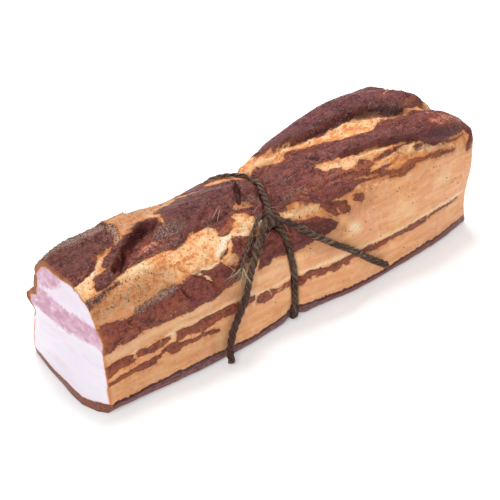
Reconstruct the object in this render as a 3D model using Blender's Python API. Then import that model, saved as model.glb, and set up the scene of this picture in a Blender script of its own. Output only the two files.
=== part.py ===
"""A slab of smoked pork belly, tied round the middle with twine.

The slab lies along X, rind down. Its fresh cut end faces -X and its long show side faces -Y.
Four strata run through it, from the rind up: base fat, lean band, upper fat and top lean.
Places on the skin are given as (x, s): x along the slab, and s round it, both in millimetres.
s is 0 at the foot of the show side, about 50 at its shoulder, 115 at the back shoulder and 168
at the foot of the back, and it closes at GIRTH after the underside.
"""
import bisect
import math

import bmesh
import bpy
import numpy as np
from mathutils import Vector, geometry

MM = 0.001

# ---- Driving dimensions, in millimetres -------------------------------------------------------
STATIONS = (-129, -105, -75, -40, -14, 6, 30, 60, 95, 127)  # along the slab, cut end first
SHOW_FOOT = (34.0, 36.0, 38.5, 39.5, 38.0, 39.0, 42.0, 42.0, 40.5, 36.0)  # half width at the floor
SHOW_SHOULDER = (26.5, 30.0, 33.5, 35.5, 34.2, 35.3, 39.0, 41.0, 41.0, 38.0)
BACK_FOOT = (30.0, 31.0, 31.0, 31.0, 29.8, 29.5, 32.0, 34.0, 33.5, 30.0)
BACK_SHOULDER = (24.0, 28.2, 29.5, 28.5, 28.3, 27.2, 30.5, 34.0, 34.0, 31.0)
TOP = (60.0, 63.5, 64.0, 61.5, 62.0, 60.5, 65.0, 69.3, 71.3, 67.5)
SHOW_SQUARE = (2.3, 2.5, 2.8, 3.0, 3.0, 3.1, 3.2, 3.4, 3.6, 3.6)  # 2 is round, 10 is nearly square
BACK_SQUARE = (5.0, 4.2, 4.6, 4.2, 3.9, 3.2, 3.4, 4.0, 4.6, 3.8)
FOOT_SQUARE = 14.0
MIDDLE = 28.0  # height of the section's centre
SHOULDER_RISE = 40.0  # height over which the side leans from its foot width to its shoulder width
UNDER = 0.6  # how far the section would reach below the floor, which makes the rind lie flat
GIRTH = 235.0
# How far the cut end's foot slides along X: (y, distance)
CUT_FOOT = ((-35, 2.5), (-30, -1.2), (-20, -4.0), (-10, -3.2), (-2, -1.5), (13, 1.0), (31, 5.0))
FAR_ROUND, FAR_ROUND_UNDER = 7.0, 2.5  # radius of the far end's edges, above and round the rind
CENTRE = (3.1, 3.64)  # moves the slab so that its box is centred on the origin

# Faces between strata: (height at the show side, height at the back side), one per station
SHOW_Y, BACK_Y = -33.0, 30.0
STRATA_FACES = (
    (
        (32.5, 34.5, 35.0, 38.0, 39.0, 40.0, 45.0, 52.5, 54.0, 50.5),
        (28.5, 28.5, 29.0, 29.0, 28.0, 28.0, 30.0, 31.0, 31.0, 30.0),
    ),
    (
        (46.0, 45.5, 50.0, 50.5, 50.5, 50.5, 53.0, 57.5, 58.5, 55.5),
        (38.5, 38.5, 39.0, 39.0, 38.0, 38.0, 40.0, 41.0, 41.0, 40.0),
    ),
    (
        (70.5, 67.0, 65.0, 64.5, 61.5, 58.5, 60.0, 66.5, 63.0, 60.5),
        (43.0, 44.0, 45.0, 44.0, 43.0, 44.0, 46.0, 47.0, 47.0, 46.0),
    ),
)
STRATA_GAP = 0.3
STRATA = (  # name, colour, roughness
    ("base_fat", (0.78, 0.42, 0.19), 0.45),
    ("lean_band", (0.24, 0.06, 0.04), 0.5),
    ("upper_fat", (0.82, 0.50, 0.24), 0.45),
    ("top_lean", (0.20, 0.05, 0.04), 0.55),
)

TWINE = 3.8  # diameter
LOOSE_PLY = 2.2  # diameter of the short end, which has lost part of its strands
TWINE_COLOUR = (0.09, 0.06, 0.035)
TWINE_GAP = 0.32
LOOP_SINK = 1.5  # how deep the tight loop presses into the meat
TAIL_CLEAR = 0.2  # how far the loose tails lie off the meat

# ---- Relief: strokes along the skin. (x, s, half width) ..., and a rise, below 0 for a groove ---
RELIEF = {
    "back_ridge": (
        2.7, ((6, 105, 4), (28, 104, 8), (60, 103, 10), (85, 98, 10), (104, 90, 8), (116, 85, 4)),
    ),
    "seam": (-2.6, ((4, 96, 3), (36, 91.5, 5), (60, 85.5, 6), (78, 82, 7), (96, 76, 3))),
    "middle_ridge": (
        2.6, ((0, 82, 7), (23, 80, 8), (43, 75, 9), (58, 72, 8), (71, 69, 7), (90, 65, 9), (112, 65, 8)),
    ),
    "front_muscle": (2.0, ((-2, 67, 7), (10, 63, 8), (25, 60, 8), (42, 58, 6), (54, 54, 5))),
    "fat_wedge": (-1.2, ((50, 64, 4), (62, 59, 5), (80, 55, 5), (100, 52, 4))),
    "cut_muscle": (1.6, ((-131, 90, 14), (-110, 92, 14), (-94, 96, 12))),
    "strip": (1.4, ((-124, 60, 4), (-108, 66, 4), (-97, 72, 4))),
    "pocket": (-7.0, ((-104, 67, 2.5), (-92, 74, 4), (-80, 81, 5), (-69, 87, 4))),
    "near_ridge": (2.6, ((-64, 80, 10), (-50, 83, 14), (-30, 84, 13), (-16, 82, 9))),
    "side_muscle": (1.3, ((-129, 39, 5), (-100, 39, 5), (-75, 41, 8), (-52, 43, 7), (-34, 46, 6))),
    "side_notch": (-1.6, ((-68, 48, 3), (-60, 41, 3))),
    "rind_lip": (0.8, ((-131, 1.2, 2.2), (131, 1.2, 2.2))),
    "back_flap": (5.0, ((-131, 126, 5), (-122, 126, 4.5), (-108, 128, 2))),
    "back_hump": (1.8, ((-84, 100, 5), (-74, 102, 4))),
    "loop_hump": (1.5, ((-2, 105, 5), (-8, 109, 6), (-15, 114, 5))),
    "back_slope": (1.2, ((7, 107, 6), (15, 107, 5))),
    "end_step": (-5.6, ((112, 76, 4.5), (129, 74, 8))),
    "back_muscle": (1.2, ((-100, 132, 6), (-40, 133, 7), (40, 132, 7), (120, 134, 6))),
}
PINCH = (1.8, 7.0)  # depth and half width of the dip that the tight loop pulls round the slab

# ---- The twine's routes: (x, s, extra lift off the skin) ---------------------------------------
KNOT = (-15.5, 57.8)
LOOP_ROUTE = (
    (-14.6, 61.2, 2.2), (-12, 64.4, 1.2), (-9.6, 68, 0.5), (-7, 72.5, 0.1), (-4.5, 78, 0), (-1.5, 84, 0),
    (1.8, 90, 0), (3.6, 95.5, 0.2), (3, 101, 0.5), (-2, 106, 1.0), (-9, 109.5, 1.2), (-14, 115, 0.9),
    (-16.5, 123, 0.4), (-17, 135, 0), (-16.5, 150, 0), (-15, 163, 0), (-14, 172, 0), (-13, 190, 0),
    (-11.8, 210, 0), (-11.2, 224, 0), (-11, 232, 1.2), (-10, 237.5, 1.2), (-8.4, 244, 0.1), (-8, 252, 0),
    (-8.2, 262, 0), (-9.6, 271, 0), (-10.3, 279, 0), (-11, 285, 0), (-13, 290, 0.9),
)
FRONT_TAIL = (
    (-18.8, 58.8, 2.3), (-22.5, 56.5, 1.4), (-27, 53, 0.7), (-31.8, 49.6, 0.5), (-36.6, 45.4, 0.5),
    (-40.6, 41, 0.5), (-43, 35, 0.5), (-45.3, 29, 0.5), (-48, 23.8, 0.5), (-51.4, 18.6, 0.5),
    (-54.8, 13.6, 0.5), (-57, 8.6, 0.6), (-58.6, 4.4, 1.2), (-61.2, 1.6, 4.6),
)
FRAYED_END = (
    (-18.4, 62, 2.0), (-23, 60.6, 0.9), (-28, 57.1, 0.3), (-33, 53.5, 0.2), (-38, 49.9, 0.2),
    (-42.5, 46.6, 0.3), (-46.5, 43, 0.6),
)
SIDE_TAIL = (
    (-12.2, 56, 2.6), (-8, 53, 2.6), (-3, 48.9, 1.4), (3, 44, 0.7), (10, 38.7, 0.5), (17, 33, 0.5),
    (24.5, 27.3, 0.5), (33, 20, 0.5), (42, 13, 0.6), (50.5, 7.4, 0.9),
)
ROUTES = {  # name: (route, diameter, height of the strand's underside over the skin)
    "twine_loop": (LOOP_ROUTE, TWINE, -LOOP_SINK),
    "tail_front": (FRONT_TAIL, TWINE, TAIL_CLEAR),
    "tail_frayed": (FRAYED_END, LOOSE_PLY, TAIL_CLEAR),
    "tail_side": (SIDE_TAIL, TWINE, TAIL_CLEAR),
}


# ---- Helpers ----------------------------------------------------------------------------------
def smooth_between(stations, values):
    """A function that runs smoothly through values at stations, by cubic pieces with matched slopes."""
    steps = np.diff(stations)
    slopes = np.diff(values) / steps
    inner = (slopes[:-1] * steps[1:] + slopes[1:] * steps[:-1]) / (steps[1:] + steps[:-1])
    tangents = np.concatenate(([slopes[0]], inner, [slopes[-1]]))

    def at(x):
        x = min(max(x, stations[0]), stations[-1])
        i = min(max(bisect.bisect_right(stations, x) - 1, 0), len(steps) - 1)
        t = (x - stations[i]) / steps[i]
        start = (1 + 2 * t) * (1 - t) ** 2 * values[i] + t * (1 - t) ** 2 * steps[i] * tangents[i]
        end = t * t * (3 - 2 * t) * values[i + 1] - t * t * (1 - t) * steps[i] * tangents[i + 1]
        return start + end

    return at


def smoothstep(low, high, value):
    """0 below low, 1 above high, and a smooth rise between."""
    t = np.clip((value - low) / (high - low), 0, 1)
    return t * t * (3 - 2 * t)


def stroke(x, s, points):
    """(distance to the stroke's line, half width there), arrays: the nearest of its pieces counts."""
    best = np.full(np.shape(x), 1e9)
    width = np.ones(np.shape(x))
    for (x0, s0, w0), (x1, s1, w1) in zip(points, points[1:]):
        dx, ds = x1 - x0, s1 - s0
        t = np.clip(((x - x0) * dx + (s - s0) * ds) / (dx * dx + ds * ds), 0, 1)
        away = np.hypot(x - x0 - t * dx, s - s0 - t * ds)
        wide = w0 + t * (w1 - w0)
        nearer = away / wide < best / width
        best = np.where(nearer, away, best)
        width = np.where(nearer, wide, width)
    return best, width


# ---- The slab's skin --------------------------------------------------------------------------
show_foot = smooth_between(STATIONS, SHOW_FOOT)
show_shoulder = smooth_between(STATIONS, SHOW_SHOULDER)
back_foot = smooth_between(STATIONS, BACK_FOOT)
back_shoulder = smooth_between(STATIONS, BACK_SHOULDER)
top = smooth_between(STATIONS, TOP)
show_square = smooth_between(STATIONS, SHOW_SQUARE)
back_square = smooth_between(STATIONS, BACK_SQUARE)


def section(x, s_values):
    """Points (y, z) of the plain section at x, one for each place s round it.

    It is a rounded box: a superellipse whose half sizes and squareness differ by quarter, with
    sides that lean from their foot width to their shoulder width. Places follow its arc length.
    """
    start = math.pi + math.atan2(MIDDLE, show_foot(x))
    angle = start - np.linspace(0, 2 * math.pi, 721)
    across, up = np.cos(angle), np.sin(angle)
    show = across < 0
    foot = np.where(show, show_foot(x), back_foot(x))
    shoulder = np.where(show, show_shoulder(x), back_shoulder(x))
    half_width = (foot + shoulder) / 2
    half_height = np.where(up > 0, top(x) - MIDDLE, MIDDLE + UNDER)
    square = np.where(up > 0, np.where(show, show_square(x), back_square(x)), FOOT_SQUARE)
    radius = (abs(across / half_width) ** square + abs(up / half_height) ** square) ** (-1 / square)
    y, z = radius * across, radius * up
    lean = (shoulder - foot) / half_width / SHOULDER_RISE * np.clip(abs(across) * 3, 0, 1)
    y = y * (1 + lean * z)
    z = np.maximum(z + MIDDLE, 0)
    length = np.concatenate(([0], np.cumsum(np.hypot(np.diff(y), np.diff(z)))))
    wanted = np.asarray(s_values) / GIRTH * length[-1]
    return np.interp(wanted, length, y), np.interp(wanted, length, z)


def relief(x, s):
    """How far the skin stands off its plain section, in mm: the sum of rounded strokes."""
    height = 1.0 * np.sin(x / 17 + s / 21) * np.sin(s / 13 - x / 40)
    height += 0.5 * np.sin(x / 7.5 - s / 11 + 1.3)
    height = height * smoothstep(6, 20, s) * smoothstep(168, 150, s)
    for rise, points in RELIEF.values():
        away, width = stroke(x, s, points)
        height += rise * (1 - smoothstep(0.25, 1.35, away / width))
    depth, half = PINCH
    loop = tuple((px, ps, half) for px, ps, _ in LOOP_ROUTE)
    away = np.minimum(stroke(x, s, loop)[0], stroke(x, s + GIRTH, loop)[0])
    height -= depth * (1 - smoothstep(0, 1.3, away / half))
    return height


def far_rounding(x, s):
    """How far the skin draws in near the far end: a quarter circle, of a smaller radius on the rind."""
    above = smoothstep(0, 12, s) * smoothstep(170, 158, s)
    radius = FAR_ROUND_UNDER + (FAR_ROUND - FAR_ROUND_UNDER) * above
    along = np.clip(x - (STATIONS[-1] - radius), 0, radius)
    return radius - np.sqrt(radius**2 - along**2)


def end_shift(x, y, z):
    """How far a point slides along X: the cut end's foot stands out, and the far end's top falls back."""
    near = 1 - smoothstep(-129, -112, x)
    foot = 1 - smoothstep(0, 40, z)
    foot_shift = np.interp(y, [place for place, _ in CUT_FOOT], [slide for _, slide in CUT_FOOT])
    near_shift = 3.5 + foot * (foot_shift - 3.5)
    far = smoothstep(100, 127, x)
    across = np.clip((y + 36) / 60, 0, 1)
    bulge = 1 - np.clip(abs(z - 34) / 36, 0, 1) ** 2
    far_shift = 3.0 * bulge - 3.0 - 12.0 * across * smoothstep(20, 62, z)
    far_shift += 4.5 * (1 - across) ** 2 * smoothstep(44, 60, z)
    return near * near_shift + far * far_shift


def skin(x_values, s_values):
    """The skin's points, an array of (x, s, 3) in mm, before it is centred."""
    points = np.empty((len(x_values), len(s_values), 3))
    for i, x in enumerate(x_values):
        points[i, :, 0] = x
        points[i, :, 1], points[i, :, 2] = section(x, s_values)
    along_x = np.gradient(points, axis=0)
    round_s = np.roll(points, -1, axis=1) - np.roll(points, 1, axis=1)
    outward = np.cross(along_x, round_s)
    outward /= np.linalg.norm(outward, axis=2, keepdims=True)
    x, s = np.meshgrid(x_values, s_values, indexing="ij")
    raised = points + outward * (relief(x, s) - far_rounding(x, s))[..., None]
    raised[..., 0] += end_shift(raised[..., 0], raised[..., 1], raised[..., 2])
    raised[..., 2] = np.maximum(raised[..., 2], 0)
    return raised, outward


class Skin:
    """The skin on a fine grid, so that a place (x, s) with a lift off it can be looked up."""

    def __init__(self):
        self.x = np.linspace(-131, 131, 263)
        self.s = np.arange(0, GIRTH, 1.0)
        self.points, self.outward = skin(self.x, self.s)

    def at(self, x, s, lift):
        i = (x - self.x[0]) / (self.x[1] - self.x[0])
        j = s % GIRTH
        i0, j0 = int(i), int(j)
        corners = [(i0, j0), (i0 + 1, j0), (i0, (j0 + 1) % len(self.s)), (i0 + 1, (j0 + 1) % len(self.s))]
        fi, fj = i - i0, j - j0
        weights = [(1 - fi) * (1 - fj), fi * (1 - fj), (1 - fi) * fj, fi * fj]
        point = sum(w * self.points[c] for w, c in zip(weights, corners))
        outward = sum(w * self.outward[c] for w, c in zip(weights, corners))
        return Vector(point + lift * outward / np.linalg.norm(outward))


# ---- Blender objects --------------------------------------------------------------------------
def clear_scene():
    for old in list(bpy.data.objects):
        bpy.data.objects.remove(old)


def new_collection(name):
    made = bpy.data.collections.new(name)
    bpy.context.scene.collection.children.link(made)
    return made


def material(name, colour, roughness):
    made = bpy.data.materials.new(name)
    made.use_nodes = True
    shader = made.node_tree.nodes["Principled BSDF"]
    shader.inputs["Base Color"].default_value = (*colour, 1)
    shader.inputs["Roughness"].default_value = roughness
    shader.inputs["Metallic"].default_value = 0
    return made


def placed(points):
    """Millimetres in the slab's own place, as metres in the frame."""
    moved = np.asarray(points, float) + np.array((*CENTRE, 0))
    return moved * MM


def object_from(name, mesh, collection, helper=False):
    made = bpy.data.objects.new(name, mesh)
    collection.objects.link(made)
    if helper:
        made.hide_render = True
        made.display_type = "WIRE"
    return made


def closed_loft(name, rings):
    """A closed mesh through rings of points, the first and last of which are each filled by one fan."""
    build = bmesh.new()
    rows = [[build.verts.new(p) for p in ring] for ring in rings]
    count = len(rings[0])
    for near, far in zip(rows, rows[1:]):
        for j in range(count):
            build.faces.new((near[j], near[(j + 1) % count], far[(j + 1) % count], far[j]))
    for row in (rows[0], rows[-1]):
        middle = build.verts.new(sum((v.co for v in row), Vector()) / count)
        for j in range(count):
            build.faces.new((row[j], row[(j + 1) % count], middle))
    bmesh.ops.triangulate(build, faces=build.faces)
    bmesh.ops.recalc_face_normals(build, faces=build.faces)
    mesh = bpy.data.meshes.new(name)
    build.to_mesh(mesh)
    build.free()
    return mesh


def end_rings(x, s_values, shares):
    """Rings that close an end: its outline drawn in to shares of its size, each on the end's own face."""
    outline = skin([x - 1, x, x + 1], s_values)[0][1]
    middle = np.array((0, outline[:, 1].mean(), MIDDLE))
    rings = []
    for share in shares:
        ring = middle + (outline - middle) * share
        ring[:, 0] = x + end_shift(np.full(len(ring), float(x)), ring[:, 1], ring[:, 2])
        rings.append(ring)
    return rings


def slab_core(collection):
    """The whole slab as one helper solid, with a crisp cut end and a rounded far end."""
    near, far = STATIONS[0], STATIONS[-1]
    x_values = np.concatenate((np.linspace(near, 116, 56), (119.5, 122.5, 125, 126.5, far)))
    show = np.linspace(0, 48, 11)
    shoulder_and_top = np.linspace(51.5, 118, 20)
    back = np.linspace(123, 168, 9)
    under = np.linspace(180, 228, 5)
    s_values = np.concatenate((show, shoulder_and_top, back, under))
    body, _ = skin(x_values, s_values)
    near_cap = end_rings(near, s_values, (0.3, 0.62, 0.85))
    far_cap = end_rings(far, s_values, (0.8, 0.45))
    rings = [*near_cap, *body, *far_cap]
    mesh = closed_loft("slab_core", [placed(ring) for ring in rings])
    return object_from("slab_core", mesh, collection, helper=True)


def stratum_slab(index, collection):
    """A wavy slab between two strata faces, wider than the meat, that cuts one stratum out of it."""
    half_gap = STRATA_GAP / 2
    heights = []
    for face in (index - 1, index):
        if 0 <= face < len(STRATA_FACES):
            heights.append([smooth_between(STATIONS, values) for values in STRATA_FACES[face]])
        else:
            level = -20.0 if face < 0 else 110.0
            heights.append([lambda x, level=level: level] * 2)
    rings = []
    for x in np.linspace(-150, 150, 31):
        ring = []
        for (at_show, at_back), offset, ys in (
            (heights[0], half_gap, (-60.0, -33.0, 0.0, 30.0, 60.0)),
            (heights[1], -half_gap, (60.0, 30.0, 0.0, -33.0, -60.0)),
        ):
            for y in ys:
                share = (y - SHOW_Y) / (BACK_Y - SHOW_Y)
                sway = 0.5 * math.sin(x / 15 + y / 9)
                level = at_show(x) + share * (at_back(x) - at_show(x)) + offset
                ring.append((x, y, level + sway))
        rings.append(placed(ring))
    name = f"{STRATA[index][0]}_slab"
    return object_from(name, closed_loft(name, rings), collection, helper=True)


def through(points, spacing):
    """Points spaced evenly along a smooth curve through the given ones."""
    dense = []
    padded = [points[0] * 2 - points[1], *points, points[-1] * 2 - points[-2]]
    for before, start, end, after in zip(padded, padded[1:], padded[2:], padded[3:]):
        handle_out, handle_in = start + (end - before) / 6, end - (after - start) / 6
        dense += geometry.interpolate_bezier(start, handle_out, handle_in, end, 12)[:-1]
    dense.append(points[-1])
    length = [0.0]
    for a, b in zip(dense, dense[1:]):
        length.append(length[-1] + (b - a).length)
    count = max(2, round(length[-1] / spacing))
    even = []
    for k in range(count + 1):
        wanted = length[-1] * k / count
        i = min(max(bisect.bisect_right(length, wanted) - 1, 0), len(dense) - 2)
        share = (wanted - length[i]) / max(length[i + 1] - length[i], 1e-9)
        even.append(dense[i].lerp(dense[i + 1], min(share, 1)))
    return even


def route_points(route, diameter, height, meat):
    """The middle line of one stretch of twine, lying on the skin and never under the floor."""
    radius = diameter / 2
    line = through([meat.at(x, s, radius + height + lift) for x, s, lift in route], TWINE * 2)
    for point in line:
        point.z = max(point.z, radius + 0.25)
    return line


def tube_curve(name, line, diameter, collection, helper=False):
    curve = bpy.data.curves.new(name, "CURVE")
    curve.dimensions = "3D"
    curve.bevel_depth = diameter / 2 * MM
    curve.bevel_resolution = 2
    curve.use_fill_caps = True
    spline = curve.splines.new("POLY")
    spline.points.add(len(line) - 1)
    for point, place in zip(spline.points, placed(line)):
        point.co = (*place, 1)
    return object_from(name, curve, collection, helper)


def as_mesh(curve_object, collection):
    """A curve object made a welded mesh in the same place, so that a Boolean can use it."""
    graph = bpy.context.evaluated_depsgraph_get()
    mesh = bpy.data.meshes.new_from_object(curve_object.evaluated_get(graph))
    build = bmesh.new()
    build.from_mesh(mesh)
    bmesh.ops.remove_doubles(build, verts=build.verts, dist=1e-6)
    bmesh.ops.recalc_face_normals(build, faces=build.faces)
    build.to_mesh(mesh)
    build.free()
    name = curve_object.name
    place = curve_object.matrix_world.copy()
    hidden = curve_object.hide_render
    bpy.data.objects.remove(curve_object)
    made = object_from(name, mesh, collection, hidden)
    made.matrix_world = place
    return made


def boolean(target, other, operation):
    step = target.modifiers.new(other.name, "BOOLEAN")
    step.operation = operation
    step.object = other


def knot_solid(meat, name, thickness, collection, helper=False):
    """The knot: two tilted turns of twine round a core, joined into one solid."""
    place = meat.at(*KNOT, 3.2)
    outward = (place - meat.at(*KNOT, 0)).normalized()
    lengthwise = Vector((1, 0, 0))
    lengthwise = (lengthwise - outward * lengthwise.dot(outward)).normalized()
    downhill = outward.cross(lengthwise)
    turns = []
    for side in (-1, 1):
        axis = (lengthwise * 0.94 + downhill * 0.34 * side).normalized()
        bpy.ops.mesh.primitive_torus_add(
            major_segments=16, minor_segments=8, major_radius=2.9 * MM, minor_radius=thickness / 2 * MM,
            location=placed([place + axis * side * 1.75])[0],
            rotation=axis.to_track_quat("Z", "Y").to_euler(),
        )
        turns.append(bpy.context.object)
    bpy.ops.mesh.primitive_uv_sphere_add(
        segments=14, ring_count=8, radius=3.5 * MM, location=placed([place])[0]
    )
    core = bpy.context.object
    core.scale = (1.25, 1.0, 1.0)
    bpy.context.view_layer.update()
    bpy.ops.object.select_all(action="DESELECT")
    core.select_set(True)
    bpy.context.view_layer.objects.active = core
    bpy.ops.object.transform_apply(location=False, rotation=False, scale=True)
    for turn in turns:
        boolean(core, turn, "UNION")
    graph = bpy.context.evaluated_depsgraph_get()
    mesh = bpy.data.meshes.new_from_object(core.evaluated_get(graph))
    mesh.transform(core.matrix_world)
    for old in (core, *turns):
        bpy.data.objects.remove(old)
    return object_from(name, mesh, collection, helper)


def main():
    clear_scene()
    belly = new_collection("smoked_pork_belly")
    cutters = new_collection("cutters")
    meat = Skin()
    twine_finish = material("smoked_twine", TWINE_COLOUR, 0.9)

    knot = knot_solid(meat, "twine_knot", TWINE, belly)
    knot_room = knot_solid(meat, "knot_room", TWINE + 2 * TWINE_GAP, cutters, helper=True)
    knot.data.materials.append(twine_finish)
    rooms = [knot_room]
    for name, (route, diameter, height) in ROUTES.items():
        line = route_points(route, diameter, height, meat)
        tube = as_mesh(tube_curve(name, line, diameter, belly), belly)
        boolean(tube, knot_room, "DIFFERENCE")
        tube.data.materials.append(twine_finish)
        room = tube_curve(f"{name}_room", line, diameter + 2 * TWINE_GAP, cutters, helper=True)
        rooms.append(as_mesh(room, cutters))

    core = slab_core(cutters)
    for room in rooms:
        boolean(core, room, "DIFFERENCE")
    for index, (name, colour, roughness) in enumerate(STRATA):
        slab = stratum_slab(index, cutters)
        stratum = object_from(name, slab.data.copy(), belly)
        bpy.data.objects.remove(slab)
        boolean(stratum, core, "INTERSECT")
        stratum.data.materials.append(material(name, colour, roughness))


main()
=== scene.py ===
"""The looks of a slab of smoked pork belly tied with twine: meat, spice crust, twine, light and camera.

Lengths are in millimetres in the slab's own place, until `placed` makes them metres in the frame.
Places on the skin are (x, s): x along the slab from its fresh cut end, and s round it. s is 0 at the
foot of the show side, about 50 at its shoulder, 115 at the back shoulder and 168 at the foot of the
back, and it closes at GIRTH after the underside.
"""
import math
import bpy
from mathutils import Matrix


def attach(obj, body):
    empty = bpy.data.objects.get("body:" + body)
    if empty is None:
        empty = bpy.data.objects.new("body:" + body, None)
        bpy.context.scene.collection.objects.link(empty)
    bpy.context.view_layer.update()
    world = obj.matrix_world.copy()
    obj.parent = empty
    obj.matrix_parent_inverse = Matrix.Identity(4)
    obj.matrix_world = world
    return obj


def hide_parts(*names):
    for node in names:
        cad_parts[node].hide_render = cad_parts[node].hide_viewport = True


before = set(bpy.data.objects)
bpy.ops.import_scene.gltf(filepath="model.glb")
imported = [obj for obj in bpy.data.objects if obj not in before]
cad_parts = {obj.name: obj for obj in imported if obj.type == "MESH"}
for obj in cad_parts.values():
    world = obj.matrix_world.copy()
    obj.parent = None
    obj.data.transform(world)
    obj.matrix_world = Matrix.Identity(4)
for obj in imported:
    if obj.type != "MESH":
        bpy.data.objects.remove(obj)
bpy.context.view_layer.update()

from types import SimpleNamespace

import bpy
import numpy as np

MM = 0.001

# ---- The slab's form, as in the construction ---------------------------------------------------
STATIONS = (-129, -105, -75, -40, -14, 6, 30, 60, 95, 127)
SHOW_FOOT = (34.0, 36.0, 38.5, 39.5, 38.0, 39.0, 42.0, 42.0, 40.5, 36.0)
SHOW_SHOULDER = (26.5, 30.0, 33.5, 35.5, 34.2, 35.3, 39.0, 41.0, 41.0, 38.0)
BACK_FOOT = (30.0, 31.0, 31.0, 31.0, 29.8, 29.5, 32.0, 34.0, 33.5, 30.0)
BACK_SHOULDER = (24.0, 28.2, 29.5, 28.5, 28.3, 27.2, 30.5, 34.0, 34.0, 31.0)
TOP = (60.0, 63.5, 64.0, 61.5, 62.0, 60.5, 65.0, 69.3, 71.3, 67.5)
SHOW_SQUARE = (2.3, 2.5, 2.8, 3.0, 3.0, 3.1, 3.2, 3.4, 3.6, 3.6)
BACK_SQUARE = (5.0, 4.2, 4.6, 4.2, 3.9, 3.2, 3.4, 4.0, 4.6, 3.8)
FOOT_SQUARE = 14.0
MIDDLE = 28.0
SHOULDER_RISE = 40.0
UNDER = 0.6
GIRTH = 235.0
CUT_FOOT = ((-35, 2.5), (-30, -1.2), (-20, -4.0), (-10, -3.2), (-2, -1.5), (13, 1.0), (31, 5.0))
FAR_ROUND, FAR_ROUND_UNDER = 7.0, 2.5
CENTRE = (3.1, 3.64)

SHOW_Y, BACK_Y = -33.0, 30.0
LAYER_FACES = (  # heights of the faces between base fat, lean band, upper fat and top lean
    (
        (32.5, 34.5, 35.0, 38.0, 39.0, 40.0, 45.0, 52.5, 54.0, 50.5),
        (28.5, 28.5, 29.0, 29.0, 28.0, 28.0, 30.0, 31.0, 31.0, 30.0),
    ),
    (
        (46.0, 45.5, 50.0, 50.5, 50.5, 50.5, 53.0, 57.5, 58.5, 55.5),
        (38.5, 38.5, 39.0, 39.0, 38.0, 38.0, 40.0, 41.0, 41.0, 40.0),
    ),
    (
        (70.5, 67.0, 65.0, 64.5, 61.5, 58.5, 60.0, 66.5, 63.0, 60.5),
        (43.0, 44.0, 45.0, 44.0, 43.0, 44.0, 46.0, 47.0, 47.0, 46.0),
    ),
)
RELIEF = {  # (rise, ((x, s, half width), ...))
    "back_ridge": (2.7, (
        (6, 105, 4), (28, 104, 8), (60, 103, 10), (85, 98, 10), (104, 90, 8), (116, 85, 4),
    )),
    "seam": (-2.6, ((4, 96, 3), (36, 91.5, 5), (60, 85.5, 6), (78, 82, 7), (96, 76, 3))),
    "middle_ridge": (2.6, (
        (0, 82, 7), (23, 80, 8), (43, 75, 9), (58, 72, 8), (71, 69, 7), (90, 65, 9), (112, 65, 8),
    )),
    "front_muscle": (2, ((-2, 67, 7), (10, 63, 8), (25, 60, 8), (42, 58, 6), (54, 54, 5))),
    "fat_wedge": (-1.2, ((50, 64, 4), (62, 59, 5), (80, 55, 5), (100, 52, 4))),
    "cut_muscle": (1.6, ((-131, 90, 14), (-110, 92, 14), (-94, 96, 12))),
    "strip": (1.4, ((-124, 60, 4), (-108, 66, 4), (-97, 72, 4))),
    "pocket": (-7, ((-104, 67, 2.5), (-92, 74, 4), (-80, 81, 5), (-69, 87, 4))),
    "near_ridge": (2.6, ((-64, 80, 10), (-50, 83, 14), (-30, 84, 13), (-16, 82, 9))),
    "side_muscle": (1.3, ((-129, 39, 5), (-100, 39, 5), (-75, 41, 8), (-52, 43, 7), (-34, 46, 6))),
    "side_notch": (-1.6, ((-68, 48, 3), (-60, 41, 3))),
    "rind_lip": (0.8, ((-131, 1.2, 2.2), (131, 1.2, 2.2))),
    "back_flap": (5, ((-131, 126, 5), (-122, 126, 4.5), (-108, 128, 2))),
    "back_hump": (1.8, ((-84, 100, 5), (-74, 102, 4))),
    "loop_hump": (1.5, ((-2, 105, 5), (-8, 109, 6), (-15, 114, 5))),
    "back_slope": (1.2, ((7, 107, 6), (15, 107, 5))),
    "end_step": (-5.6, ((112, 76, 4.5), (129, 74, 8))),
    "back_muscle": (1.2, ((-100, 132, 6), (-40, 133, 7), (40, 132, 7), (120, 134, 6))),
}
PINCH = (1.8, 7)

# ---- The twine's routes, as in the construction: (x, s, extra lift off the skin) --------------
TWINE, LOOSE_PLY = 3.8, 2.2
LOOP_SINK, TAIL_CLEAR = 1.5, 0.2
KNOT = (-15.5, 57.8)
LOOP_ROUTE = (
    (-14.6, 61.2, 2.2), (-12, 64.4, 1.2), (-9.6, 68, 0.5), (-7, 72.5, 0.1), (-4.5, 78, 0), (-1.5, 84, 0),
    (1.8, 90, 0), (3.6, 95.5, 0.2), (3, 101, 0.5), (-2, 106, 1), (-9, 109.5, 1.2), (-14, 115, 0.9),
    (-16.5, 123, 0.4), (-17, 135, 0), (-16.5, 150, 0), (-15, 163, 0), (-14, 172, 0), (-13, 190, 0),
    (-11.8, 210, 0), (-11.2, 224, 0), (-11, 232, 1.2), (-10, 237.5, 1.2), (-8.4, 244, 0.1), (-8, 252, 0),
    (-8.2, 262, 0), (-9.6, 271, 0), (-10.3, 279, 0), (-11, 285, 0), (-13, 290, 0.9),
)
FRONT_TAIL = (
    (-18.8, 58.8, 2.3), (-22.5, 56.5, 1.4), (-27, 53, 0.7), (-31.8, 49.6, 0.5), (-36.6, 45.4, 0.5),
    (-40.6, 41, 0.5), (-43, 35, 0.5), (-45.3, 29, 0.5), (-48, 23.8, 0.5), (-51.4, 18.6, 0.5),
    (-54.8, 13.6, 0.5), (-57, 8.6, 0.6), (-58.6, 4.4, 1.2), (-61.2, 1.6, 4.6),
)
FRAYED_END = (
    (-18.4, 62, 2), (-23, 60.6, 0.9), (-28, 57.1, 0.3), (-33, 53.5, 0.2), (-38, 49.9, 0.2),
    (-42.5, 46.6, 0.3), (-46.5, 43, 0.6),
)
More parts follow.
